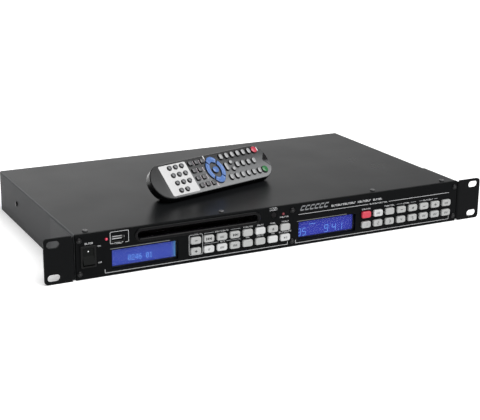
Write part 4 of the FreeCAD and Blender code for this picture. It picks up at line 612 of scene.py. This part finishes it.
# ---------------------------------------------------------------- printed front
def panel_print():
    """White screen print of the front panel: frames, brackets, rules and captions."""
    p = Piece()
    # power switch
    word(p, -202.6, -194.7, 11.5, 13.1, 5)
    # USB frame with its caption in the bottom edge
    left, right, low, high = -178.1, -160.2, 8.9, 20.0
    f = 0.6
    stroke(p, [(-174.9, low), (left + f, low), (left, low + f), (left, high - f),
               (left + f, high), (right - f, high), (right, high - f), (right, low + f),
               (right - f, low), (-163.6, low)], LINE, INK_TEXT_AND_GLINT)
    word(p, -173.9, -165.2, 8.1, 9.6, 5)
    # disc section: bracket below and the rule over its display
    stroke(p, [(-183.9, -14.9), (-183.9, -18.5), (7.3, -18.5), (7.3, -15.3)], LINE, INK_TEXT_AND_GLINT)
    stroke(p, [(-178.4, 3.9), (-118.9, 3.9)], 0.5, INK_FAINT)
    # frame round the first column
    left, right, low, high = -99.3, -85.2, -14.6, 5.7
    f, g = 1.6, 0.47
    stroke(p, [(-95.9, high), (left + f, high), (left + g, high - g), (left, high - f),
               (left, low + f), (left + g, low + g), (left + f, low),
               (right - f, low), (right - g, low + g), (right, low + f),
               (right, high - f), (right - g, high - g), (right - f, high), (-88.4, high)],
           LINE, INK_TEXT_AND_GLINT)
    word(p, -95.4, -88.9, 5.1, 6.4, 5)
    # brackets over the next three keys, broken by their captions, then a caption for each key
    for z, (a, b, c, d, e, g, n) in ((5.5, (-83.1, -73.0, -72.0, -57.4, -55.4, -45.4, 9)),
                                     (-5.2, (-83.0, -67.9, -66.4, -61.4, -59.9, -45.4, 4))):
        stroke(p, [(a, z - 0.9), (a, z), (b, z)], FINE_LINE, INK_DIM_AND_GLINT)
        stroke(p, [(e, z), (g, z), (g, z - 0.9)], FINE_LINE, INK_DIM_AND_GLINT)
        word(p, c, d, z - 0.6, z + 0.7, n)
    for a, b, n in ((-41.9, -31.4, 7), (-26.9, -19.4, 5), (-12.4, -6.1, 4), (0.6, 8.6, 5)):
        word(p, a, b, 4.9, 6.2, n)
    for a, b, n in ((-38.9, -34.4, 3), (-26.9, -19.4, 5), (-11.1, -7.4, 3), (-2.4, 11.6, 8)):
        word(p, a, b, -5.7, -4.4, n)
    # sensor, standby lamp
    word(p, -12.9, -4.2, 20.2, 21.3, 5)
    word(p, -12.9, -4.2, 18.3, 19.4, 6)
    word(p, -1.6, 8.1, 9.8, 11.0, 6)
    # tuner section: long rule with a caption gap, bracket, rule over the display
    stroke(p, [(19.1, 10.5), (100.8, 10.5)], LINE, INK_TEXT_AND_GLINT)
    stroke(p, [(125.6, 10.5), (201.2, 10.5)], LINE, INK_TEXT_AND_GLINT)
    word(p, 102.4, 124.2, 9.8, 11.1, 14)
    stroke(p, [(16.4, -15.3), (16.4, -18.7), (202.4, -18.7), (202.4, -15.4)], LINE, INK_TEXT_AND_GLINT)
    stroke(p, [(17.6, 3.6), (75.0, 3.6)], 0.45, INK_FAINT)
    for a, b, n in ((93.4, 103.8, 6), (120.6, 133.1, 8), (169.0, 181.6, 7)):
        word(p, a, b, 5.2, 6.5, n)
    word(p, 143.4, 151.8, 5.2, 6.5, 5)
    for a, b in ((135.6, 142.2), (153.0, 159.6), (163.6, 168.0), (182.6, 187.0)):
        stroke(p, [(a, 5.9), (b, 5.9)], FINE_LINE, INK_DIM_AND_GLINT)
    # generic type block where the maker's words stand: plain slanted bars, spelling nothing
    for i in range(6):
        x = 21.0 + i * 5.4
        for foot, lean, z in ((x, 1.2, 14.0), (x + 1.9, 0.6, 17.9)):
            print_shape(p, [(foot, z), (foot + 3.6, z), (foot + 3.6 + lean, z + 1.3),
                            (foot + lean, z + 1.3)], INK_FAINT)
        stroke(p, [(x + 0.3, 14.6), (x + 2.2, 18.6)], 0.8, INK_FAINT)
    word(p, 57.0, 86.0, 13.6, 15.5, 15)
    word(p, 88.0, 104.0, 13.6, 15.5, 8)
    word(p, 106.5, 117.5, 13.6, 15.5, 6)
    p.make("panel_print", "chassis")
    flat_text("switch_on", "ON", -189.1, 8.5, 2.0, INK_TEXT_AND_GLINT)
    flat_text("switch_off", "OFF", -188.5, -7.4, 2.0, INK_TEXT_AND_GLINT)


def key_bar(piece, x0, x1, z0, z1):
    bar(piece, x0, x1, z0, z1, INK_DARK, KEY_PRINT_Y, KEY_PRINT_BACK)


def triangle(piece, x, z, size, way):
    """Solid triangle on a key, pointing left (-1), right (1) or up (2)."""
    s = size / 2
    if way == 2:
        points = [(x - s, z - s * 0.6), (x + s, z - s * 0.6), (x, z + s * 0.9)]
    else:
        points = [(x - way * s * 0.8, z - s), (x + way * s * 0.8, z), (x - way * s * 0.8, z + s)]
    print_shape(piece, points, INK_DARK, KEY_PRINT_Y, KEY_PRINT_BACK)


def minus_or_plus(piece, x, z, plus):
    key_bar(piece, x - 1.4, x + 1.4, z - 0.4, z + 0.4)
    if plus:
        key_bar(piece, x - 0.4, x + 0.4, z - 1.3, z + 1.3)


def small_caption(piece, x, z, width, letters):
    """Short row of strokes, as dark as the symbols."""
    pitch = width / letters
    for i in range(letters):
        a = x - width / 2 + i * pitch
        key_bar(piece, a, a + 0.45, z - 0.95, z + 0.95)
        key_bar(piece, a + 0.45, a + pitch * 0.8, z + (0.45 if i % 2 else -0.95),
                z + (0.95 if i % 2 else -0.45))


def key_symbols():
    """Transport symbols and generic captions printed on the keys."""
    for section, (x0, pitch) in KEY_COLUMNS.items():
        draw = cd_symbol if section == "cd" else tuner_symbol
        for row, z in KEY_ROWS.items():
            for column in range(8):
                name = f"{section}_key_{row}{column + 1}"
                p = Piece()
                if draw(p, row, column, x0 + pitch * column, z):
                    p.make(name + "_print", name)
                else:
                    p.bm.free()


CD_CAPTIONS = {1: (2.6, 2), 2: (4.4, 4), 3: (4.6, 5)}    # width and letters, by column


def cd_symbol(p, row, column, x, z):
    """Draws what one disc key bears, and tells whether it bears anything."""
    if column == 0:
        minus_or_plus(p, x, z, row == "b")
    elif row == "a" and column in (1, 3):
        way = -1 if column == 1 else 1
        for i in (-1, 1):
            triangle(p, x + i * 1.25, z, 3.1, way)
        key_bar(p, x + way * 2.85 - 0.35, x + way * 2.85 + 0.35, z - 1.5, z + 1.5)
    elif row == "a" and column == 2:
        small_caption(p, x, z, 4.2, 4)
    elif row == "a" and column == 6:
        triangle(p, x, z + 0.3, 2.6, 2)
        key_bar(p, x - 1.3, x + 1.3, z - 1.3, z - 0.8)
    elif row == "b" and column == 7:
        triangle(p, x - 0.8, z, 2.2, 1)
        for i in (0, 1):
            key_bar(p, x + 0.6 + i * 0.8, x + 1.0 + i * 0.8, z - 1.0, z + 1.0)
    elif row == "b" and column in CD_CAPTIONS:
        small_caption(p, x, z, *CD_CAPTIONS[column])
    else:
        return False
    return True


def tuner_symbol(p, row, column, x, z):
    """Draws what one tuner key bears, and tells whether it bears anything."""
    if row == "a" and column in (0, 2):
        return False
    if column == 7 or (row, column) == ("a", 1) or (row == "b" and column > 4):
        small_caption(p, x, z, 4.4, 4)
    elif row == "a":
        minus_or_plus(p, x, z, column not in (3, 5))
    else:
        digit(p, str(column + 1), x, z, 1.7, 2.9, 0.6, INK_DARK, KEY_PRINT_Y, KEY_PRINT_BACK)
    return True


SEGMENTS = {"1": "bc", "2": "abged", "3": "abgcd", "4": "fgbc", "5": "afgcd", "9": "abcdfg"}


def digit(piece, value, x, z, width, height, line, mat, y, back, lean=0.0):
    """Seven-segment figure centred at (x, z)."""
    w, h = width / 2, height / 2
    ends = {"a": ((-w, h), (w, h)), "b": ((w, h), (w, 0)), "c": ((w, 0), (w, -h)),
            "d": ((-w, -h), (w, -h)), "e": ((-w, -h), (-w, 0)), "f": ((-w, 0), (-w, h)),
            "g": ((-w, 0), (w, 0))}
    gap = line * 0.55
    for name in SEGMENTS[value]:
        (u0, v0), (u1, v1) = ends[name]
        run = Vector((u1 - u0, v1 - v0)).normalized()
        side = Vector((-run.y, run.x)) * line / 2
        a = Vector((u0, v0)) + run * gap
        b = Vector((u1, v1)) - run * gap
        tip = run * line / 2
        points = [a - tip * 0.6, a + side, b + side, b + tip * 0.6, b - side, a - side]
        print_shape(piece, [(x + q.x + lean * q.y, z + q.y) for q in reversed(points)], mat, y, back)


DOTS = {"0": "01110 10001 10011 10101 11001 10001 01110",
        "1": "00100 01100 00100 00100 00100 00100 01110",
        "2": "01110 10001 00001 00110 01000 10000 11111",
        "4": "00010 00110 01010 10010 11111 00010 00010",
        "6": "00110 01000 10000 11110 10001 10001 01110"}


def dot_text(piece, text, x0, z_top, pitch, cell, mat, y, back):
    """Figures of a 5 by 7 dot display, from the left edge x0."""
    for i, character in enumerate(text):
        if character == " ":
            continue
        for row, bits in enumerate(DOTS[character].split()):
            for column, bit in enumerate(bits):
                if bit == "1":
                    x = x0 + i * pitch + column * cell[0]
                    z = z_top - row * cell[1]
                    bar(piece, x, x + cell[0] * 0.86, z - cell[1] * 0.8, z, mat, y, back)


GLASS_FRONT = GLASS_Y - 0.4
FIGURE_Y, FIGURE_BACK = GLASS_FRONT - 0.03, GLASS_FRONT + 0.02


def display_glass(section, x, glow):
    """Blue backlit glass in the recess of a display module."""
    w, h = GLASS_W, GLASS_H
    p = Piece()
    p.rings([on_front(rounded(x, DISPLAY_Z, w - 0.1, h - 0.1, 0.3), GLASS_Y - 0.05),
             on_front(rounded(x, DISPLAY_Z, w - 0.1, h - 0.1, 0.3), GLASS_FRONT + 0.1),
             on_front(rounded(x, DISPLAY_Z, w - 0.4, h - 0.4, 0.3), GLASS_FRONT)],
            glow, smooth=False)
    p.make(f"display_glass_{section}", "chassis")


def cd_figures():
    """Counter of the disc display."""
    p = Piece()
    dot_text(p, "0246 01", CD_DISPLAY_X - 16.0, DISPLAY_Z + 0.7, 3.6, (0.6, 0.8), SEGMENT,
             FIGURE_Y, FIGURE_BACK)
    p.make("display_figures_cd", "chassis")


def tuner_figures():
    """Frequency and memory number of the tuner display, with its point and its three dashes."""
    x, z = TUNER_DISPLAY_X, DISPLAY_Z
    p = Piece()
    for value, right, width in (("3", -30.2, 3.6), ("5", -24.4, 3.6), ("9", 1.2, 4.0),
                                ("4", 10.2, 4.0), ("1", 17.6, 4.0)):
        digit(p, value, x + right, z - 3.1, width, 7.2, 0.5, SEGMENT, FIGURE_Y, FIGURE_BACK, 0.08)
    bar(p, x + 15.4, x + 16.2, z - 6.7, z - 5.9, SEGMENT, FIGURE_Y, FIGURE_BACK)
    for i in range(3):
        left = x - 18.8 + i * 2.6
        bar(p, left, left + 1.9, z + 3.7, z + 4.3, SEGMENT, FIGURE_Y, FIGURE_BACK)
    p.make("display_figures_tuner", "chassis")


# ---------------------------------------------------------------- small front parts
def rocker_mark():
    """White dot on the rocker's upper face, which leans back where it is pressed in."""
    tilt = math.radians(-10.0)
    valley, reach, half = 3.3, 5.0, 7.8
    up = 4.4
    turn = Matrix.Translation(ROCKER_PIVOT) @ Matrix.Rotation(tilt, 4, "X")
    slope = math.atan2(reach - valley, half)
    y = -(valley + up * math.tan(slope))
    face = turn @ Matrix.Translation((0, y, up)) @ Matrix.Rotation(slope, 4, "X")
    p = Piece()
    p.prism(on_front(circle(0, 0, 0.6, 20), -0.03), (0, 0.06, 0), INK, face)
    p.make("rocker_mark", "power_rocker")


def usb_contacts_and_edge_glints():
    """Gold springs under the tongue of the USB socket, and painted highlights on the edges of its metal
    and tongue.
    """
    p = Piece()
    tongue = 12.92
    for x in (-3.5, -1.0, 1.0, 3.5):
        u = USB_X + x
        p.prism([(u - 0.5, 1.9, tongue), (u + 0.5, 1.9, tongue), (u + 0.5, 8.6, tongue),
                 (u - 0.5, 8.6, tongue)], (0, 0, -0.14), GOLD)
    # light bars: painted highlights on the shell's upper edge, the tongue's front edge and the shell's
    # right edge
    bar(p, USB_X - 5.4, USB_X + 3.9, 15.12, 15.72, INK_TEXT_AND_GLINT, 0.55, 0.63)
    bar(p, USB_X - 5.4, USB_X + 4.2, 12.45, 13.15, INK_TEXT_AND_GLINT, 1.54, 1.63)
    bar(p, USB_X + 6.0, USB_X + 6.38, 13.6, 15.4, INK_DIM_AND_GLINT, 0.55, 0.63)
    p.make("usb_contacts_and_edge_glints", "chassis")


def screw_details():
    """Hexagon sockets in the case screws."""
    places = [((x, 0, z), (0, 1, 0)) for x in PANEL_SCREW_X for z in PANEL_SCREW_Z]
    places += [((x, LID_SCREW_Y, CASE_TOP), (0, 0, -1)) for x in LID_SCREW_X]
    for side in (-1, 1):
        places.append(((side * HALF_CASE, SIDE_SCREW_Y, SIDE_SCREW_Z), (-side, 0, 0)))
        places += [((side * (HALF_CASE + EAR_THICK), y, EAR_SCREW_Z), (-side, 0, 0))
                   for y in EAR_SCREW_Y]
    places += [((x, REAR_SCREW_Y, REAR_SCREW_Z), (0, -1, 0)) for x in REAR_SCREW_X]
    p = Piece()
    steps, half_flat = 24, 0.9
    hexagon = []
    for i in range(steps):
        a = 2 * math.pi * i / steps
        reach = half_flat / math.cos((a % (math.pi / 3)) - math.pi / 6)
        hexagon.append((reach * math.cos(a), reach * math.sin(a)))
    for seat, axis in places:
        turn = Vector((0, 0, 1)).rotation_difference(Vector(axis)).to_matrix().to_4x4()
        place = Matrix.Translation(seat) @ turn
        face = -SCREW_HEAD_H
        loops = [[(u, v, face + 0.02) for u, v in circle(0, 0, 1.95, steps)],
                 [(u, v, face - 0.03) for u, v in circle(0, 0, 1.85, steps)],
                 [(u * 1.08, v * 1.08, face - 0.05) for u, v in hexagon],
                 [(u, v, face - 0.012) for u, v in hexagon]]
        p.rings(loops, SCREW, place, False, False, smooth=False)
        p.prism([(u, v, face - 0.015) for u, v in hexagon], (0, 0, 0.03), SCREW_WELL, place)
    p.make("screw_sockets", "chassis")


def turned(piece, x, z, profile, mat):
    """Ring turned about the rear axis through (x, z), from (radius, y) points."""
    piece.rings([on_front(circle(x, z, radius), y) for radius, y in profile],
                mat, None, False, False)


def rear_details():
    """Insulators of the phono sockets, their metal skins and the aerial's rim."""
    p = Piece()
    for x in PHONO_X:
        for z, insulator in zip(PHONO_Z, (INSULATOR_WHITE, INSULATOR_RED)):
            turned(p, x, z, ((4.0, 253.6), (3.5, 254.0), (2.2, 254.0), (1.75, 253.7)), insulator)
            turned(p, x, z, ((4.13, 246.3), (4.13, 253.5), (4.0, 253.9), (3.85, 253.9)), CHROME)
    turned(p, AERIAL_X, AERIAL_Z, ((4.83, 246.3), (4.83, 254.6), (4.6, 254.95), (3.8, 254.95),
                                   (3.62, 254.6), (3.62, 247)), CHROME)
    p.make("rear_socket_skins", "chassis")


# ---------------------------------------------------------------- remote
MAT_PITCH = 7.8
MAT_ROWS = (13.4, 4.6, -4.4, -13.1)
NUMBER_X, NUMBER_KEYS = -49.2, (3, 3, 3, 2)
FUNCTION_X, FUNCTION_KEYS = -22.4, (3, 2, 2, 3)
KEY_FOOT, KEY_TOP = -1.9, 2.27


def rubber_key(piece, x, y, size, radius, mat, crown=0.6, rise=0.35):
    """Rubber key: black skirt that runs up onto the round shoulder, partly the rubber's own black and
    partly painted shade on the key's lower sides, then a domed top of its own colour.
    """
    def loop(inset, z):
        r = max(radius - inset, 0.1)
        return [(a, b, z) for a, b in rounded(x, y, size[0] - 2 * inset, size[1] - 2 * inset, r, 6)]
    edge = KEY_TOP - crown
    deep = min(size) / 2 * 0.8
    # the black reaches part way up the shoulder: partly the rubber's own black, partly painted shade on
    # the key's sides
    side = [(0.0, 0.0), (0.1, 0.3), (0.1 + rise * 0.45, 0.58)]
    cap = side[2:] + [(0.1 + rise, 0.76), (0.3 * deep + rise, 0.9), (0.6 * deep + rise, 0.97),
                      (0.9 * deep, 1.0)]

    def skin(profile):
        return [loop(min(inset, deep), edge + crown * share) for inset, share in sorted(profile)]
    piece.rings([loop(0.0, KEY_FOOT)] + skin(side), SKIRT, REMOTE, True, False)
    piece.rings(skin(cap), mat, REMOTE, False, True)


RING_CENTRE, RING_OUTER, RING_INNER = (3.5, 0.4), (10.4, 14.6), (6.1, 9.0)


def on_ring(radii, a, z):
    """Point of the oval with these two radii, at the angle a."""
    return (RING_CENTRE[0] + radii[0] * math.cos(a), RING_CENTRE[1] + radii[1] * math.sin(a), z)


def arc_key(piece, centre, span):
    """One of the four direction keys round the middle one, rolled over at its rim."""
    steps = 14

    def loop(shrink, z):
        start = math.radians(centre - span / 2 + shrink * 3.4)
        end = math.radians(centre + span / 2 - shrink * 3.4)
        points = []
        for i in range(steps + 1):
            a = start + (end - start) * i / steps
            peak = 1 + 0.08 * math.cos((a - math.radians(centre)) * 180 / span)
            points.append(on_ring([(r - shrink) * peak for r in RING_OUTER], a, z))
        for i in range(steps + 1):
            a = end + (start - end) * i / steps
            points.append(on_ring([r + shrink for r in RING_INNER], a, z))
        return points

    top = KEY_TOP
    piece.rings([loop(0.0, KEY_FOOT), loop(0.0, top - 1.1), loop(0.05, top - 1.0)],
                SKIRT, REMOTE, True, False)
    piece.rings([loop(0.05, top - 1.0), loop(0.16, top - 0.55), loop(0.5, top - 0.2), loop(0.95, top),
                 loop(1.5, top - 0.05), loop(1.9, top - 0.16)], DOME_BLUE, REMOTE, False, True)


def remote_keys():
    """Rubber keypad with its round, oblong, oval and direction keys; stands for the CAD mat."""
    p = Piece()
    p.prism([(a, b, -1.85) for a, b in rounded(6.0, 0, 122, 32, 4.0)], (0, 0, -1.1),
            MAT_BASE, REMOTE)
    for y, numbers, functions in zip(MAT_ROWS, NUMBER_KEYS, FUNCTION_KEYS):
        for column in range(numbers):
            rubber_key(p, NUMBER_X + MAT_PITCH * column, y, (5.0, 5.0), 2.45, DOME_NUMBER, 1.0)
        for column in range(functions):
            rubber_key(p, FUNCTION_X + MAT_PITCH * column, y, (5.2, 5.0), 1.4, DOME_DARK, 0.5, 0.2)
    rubber_key(p, *RING_CENTRE, (7.6, 7.6), 3.7, DOME_BLUE, 1.0)
    for centre, span in ((90, 80), (270, 80), (0, 84), (180, 84)):
        arc_key(p, centre, span)
    # oval keys in two outer rows that end in a larger coloured one, and in the row between them
    for y, last in ((13.5, DOME_RED), (-11.4, DOME_GREEN)):
        for column in range(6):
            rubber_key(p, 18.5 + MAT_PITCH * column, y, (5.0, 7.0), 2.45, DOME, 1.0, 0.8)
        rubber_key(p, 65.3, y, (8.0, 8.0), 3.92, last, 1.5, 0.5)
    for column in range(4):
        rubber_key(p, 34.1 + MAT_PITCH * column, 1.2, (5.0, 7.0), 2.45, DOME, 1.0, 0.8)
    # two smaller keys and a tall one beside the direction keys
    for y in (5.2, -2.9):
        rubber_key(p, 26.9, y, (4.6, 5.0), 2.25, DOME, 1.0, 0.6)
    rubber_key(p, 19.1, 1.13, (4.2, 9.6), 2.06, DOME, 0.8, 0.6)
    p.make("remote_keys", "remote", ("remote_keypad",))


SKIN, SKIN_THICK = 0.05, 0.08    # top and thickness of the prints on the key face
HOLE_R = 2.8


def remote_print():
    """White number plate, the small white marks on the key face, and painted highlights beside the
    function keys.
    """
    p = Piece()
    holes = [(NUMBER_X + MAT_PITCH * column, y)
             for y, count in zip(MAT_ROWS, NUMBER_KEYS) for column in range(count)]
    plate_with_holes(p, rounded(-44.1, 0.0, 34.2, 35.4, 1.4, 5), holes, SKIN, PLATE)
    well = [on_ring((10.5, 14.7), 2 * math.pi * i / 48, 0)[:2] for i in range(48)]
    plate_with_holes(p, well, [], 0.02, WELL)
    # light strips just right of the function keys: painted highlights of the keys' right shoulders
    for y, count in zip(MAT_ROWS, FUNCTION_KEYS):
        for column in range(count):
            tick(p, -17.5 + MAT_PITCH * column, y, 0.3, 2.5, MARK_AND_GLINT)
    for x, y, half, mat in ((-2.0, 17.3, 1.9, INK), (70.9, 14.2, 2.3, INK), (-2.3, -15.6, 2.2, MARK_AND_GLINT)):
        tick(p, x, y, 0.45, half, mat)
    # dark seam beside the infrared window
    seam = ((70.4, 1.6), (73.2, -3.4), (76.2, -8.0))
    for (x0, y0), (x1, y1) in zip(seam, seam[1:]):
        p.prism([(x0 - 0.5, y0, SKIN), (x1 - 0.5, y1, SKIN), (x1 + 0.3, y1, SKIN),
                 (x0 + 0.3, y0, SKIN)], (0, 0, -SKIN_THICK), SKIRT, REMOTE)
    p.make("remote_print", "remote")


def tick(piece, x, y, half_x, half_y, mat):
    """Small oblong on the key face, for print marks and for painted highlights."""
    corners = ((-1, -1), (1, -1), (1, 1), (-1, 1))
    piece.prism([(x + i * half_x, y + j * half_y, SKIN) for i, j in corners],
                (0, 0, -SKIN_THICK), mat, REMOTE)


def plate_with_holes(piece, outline, holes, z, mat):
    """Thin printed patch on the key face, with a round hole for each key."""
    bm = bmesh.new()
    edges = []
    for loop in [outline] + [circle(x, y, HOLE_R, 20) for x, y in holes]:
        verts = [bm.verts.new((u, v, z)) for u, v in loop]
        edges += [bm.edges.new(pair) for pair in zip(verts, verts[1:] + verts[:1])]
    bmesh.ops.triangle_fill(bm, use_beauty=True, use_dissolve=False, edges=edges, normal=(0, 0, 1))
    slot = piece.index(mat)
    made = {}
    for face in bm.faces:
        corners = []
        for v in face.verts:
            if v not in made:
                made[v] = piece.bm.verts.new(REMOTE @ v.co)
            corners.append(made[v])
        new = piece.bm.faces.new(corners)
        new.material_index = slot
    bm.free()


# ---------------------------------------------------------------- stage
FLOOR_HALF = 6.0                 # metres
FLOOR_GLOW = 0.32                # keeps the floor white beside the case
SUN_ENERGY, SUN_ANGLE, SUN_FROM = 3.7, math.radians(60), Vector((0.3, -0.65, 1.0))
BAND_TOWARDS = Vector((0.1, 0.995, 0.0)).normalized()
BAND = ((0.0, 0.42), (0.84, 0.38), (0.93, 0.72), (0.985, 1.34))

SENSOR_WIDTH, PICTURE_WIDTH, FOCUS_PX = 36.0, 480, 1151.93
CAMERA_TURN = (-26.84, 17.08, 0.39)
CAMERA_AIM, CAMERA_DISTANCE = Vector((-45.6, 0, 23.81)), 1105.32


def add_floor():
    """White floor that the case stands on."""
    mat, tree, bsdf, where = new_material("floor")
    pale = ramp(tree, noise(tree, where, 400), [(0.3, grey(0.93)), (0.7, grey(0.96))])
    tree.links.new(pale, bsdf.inputs["Base Color"])
    bsdf.inputs["Roughness"].default_value = 0.9
    bsdf.inputs["Emission Color"].default_value = grey(1.0)
    bsdf.inputs["Emission Strength"].default_value = FLOOR_GLOW
    mesh = bpy.data.meshes.new("floor")
    r = FLOOR_HALF
    mesh.from_pydata([(-r, -r, 0), (r, -r, 0), (r, r, 0), (-r, r, 0)], [], [(0, 1, 2, 3)])
    mesh.materials.append(mat)
    floor = bpy.data.objects.new("floor", mesh)
    floor.location = (0, 0, (CASE_BOTTOM - 0.1) * MM)
    link(floor)


def add_lights():
    """Room that is brightest behind the object, which the paint mirrors, and a soft key light."""
    world = bpy.data.worlds.new("studio")
    world.use_nodes = True
    tree = world.node_tree
    background = tree.nodes["Background"]
    background.inputs["Strength"].default_value = 1.0
    where = tree.nodes.new("ShaderNodeTexCoord").outputs["Generated"]
    behind = spread(tree, along(tree, where, BAND_TOWARDS), 0.0, 1.0, (-1.0, 1.0))
    around = ramp(tree, behind, [(position, grey(level)) for position, level in BAND])
    height = spread(tree, coordinate(tree, where, "Z"), 1.0, 0.35, (0.3, 0.6))
    tree.links.new(mixed(tree, 1.0, around, height, "MULTIPLY"), background.inputs["Color"])
    bpy.context.scene.world = world
    light = bpy.data.lights.new("soft_key", "SUN")
    light.energy = SUN_ENERGY
    light.angle = SUN_ANGLE
    lamp = bpy.data.objects.new("soft_key", light)
    lamp.rotation_euler = SUN_FROM.to_track_quat("Z", "Y").to_euler()
    link(lamp)


def add_camera():
    """Camera turned by its azimuth, elevation and roll about the point that it looks at."""
    data = bpy.data.cameras.new("camera")
    data.sensor_width = SENSOR_WIDTH
    data.sensor_fit = "HORIZONTAL"
    data.lens = FOCUS_PX / PICTURE_WIDTH * SENSOR_WIDTH
    data.clip_start, data.clip_end = 0.01, 20.0
    camera = bpy.data.objects.new("camera", data)
    az, el, roll = (math.radians(v) for v in CAMERA_TURN)
    back = Vector((math.sin(az) * math.cos(el), -math.cos(az) * math.cos(el), math.sin(el)))
    right = (-back).cross(Vector((0, 0, 1))).normalized()
    up = right.cross(-back)
    x_axis = right * math.cos(roll) + up * math.sin(roll)
    y_axis = -right * math.sin(roll) + up * math.cos(roll)
    turn = Matrix((x_axis, y_axis, back)).transposed().to_4x4()
    place = (CAMERA_AIM + back * CAMERA_DISTANCE) * MM
    camera.matrix_world = Matrix.Translation(place) @ turn
    link(camera)
    bpy.context.scene.camera = camera
    bpy.context.scene.view_settings.view_transform = "Standard"


dress_nodes()
panel_print()
key_symbols()
display_glass("cd", CD_DISPLAY_X, BLUE_CD)
cd_figures()
display_glass("tuner", TUNER_DISPLAY_X, BLUE_TUNER)
tuner_figures()
rocker_mark()
usb_contacts_and_edge_glints()
screw_details()
rear_details()
remote_keys()
remote_print()
add_floor()
add_lights()
add_camera()
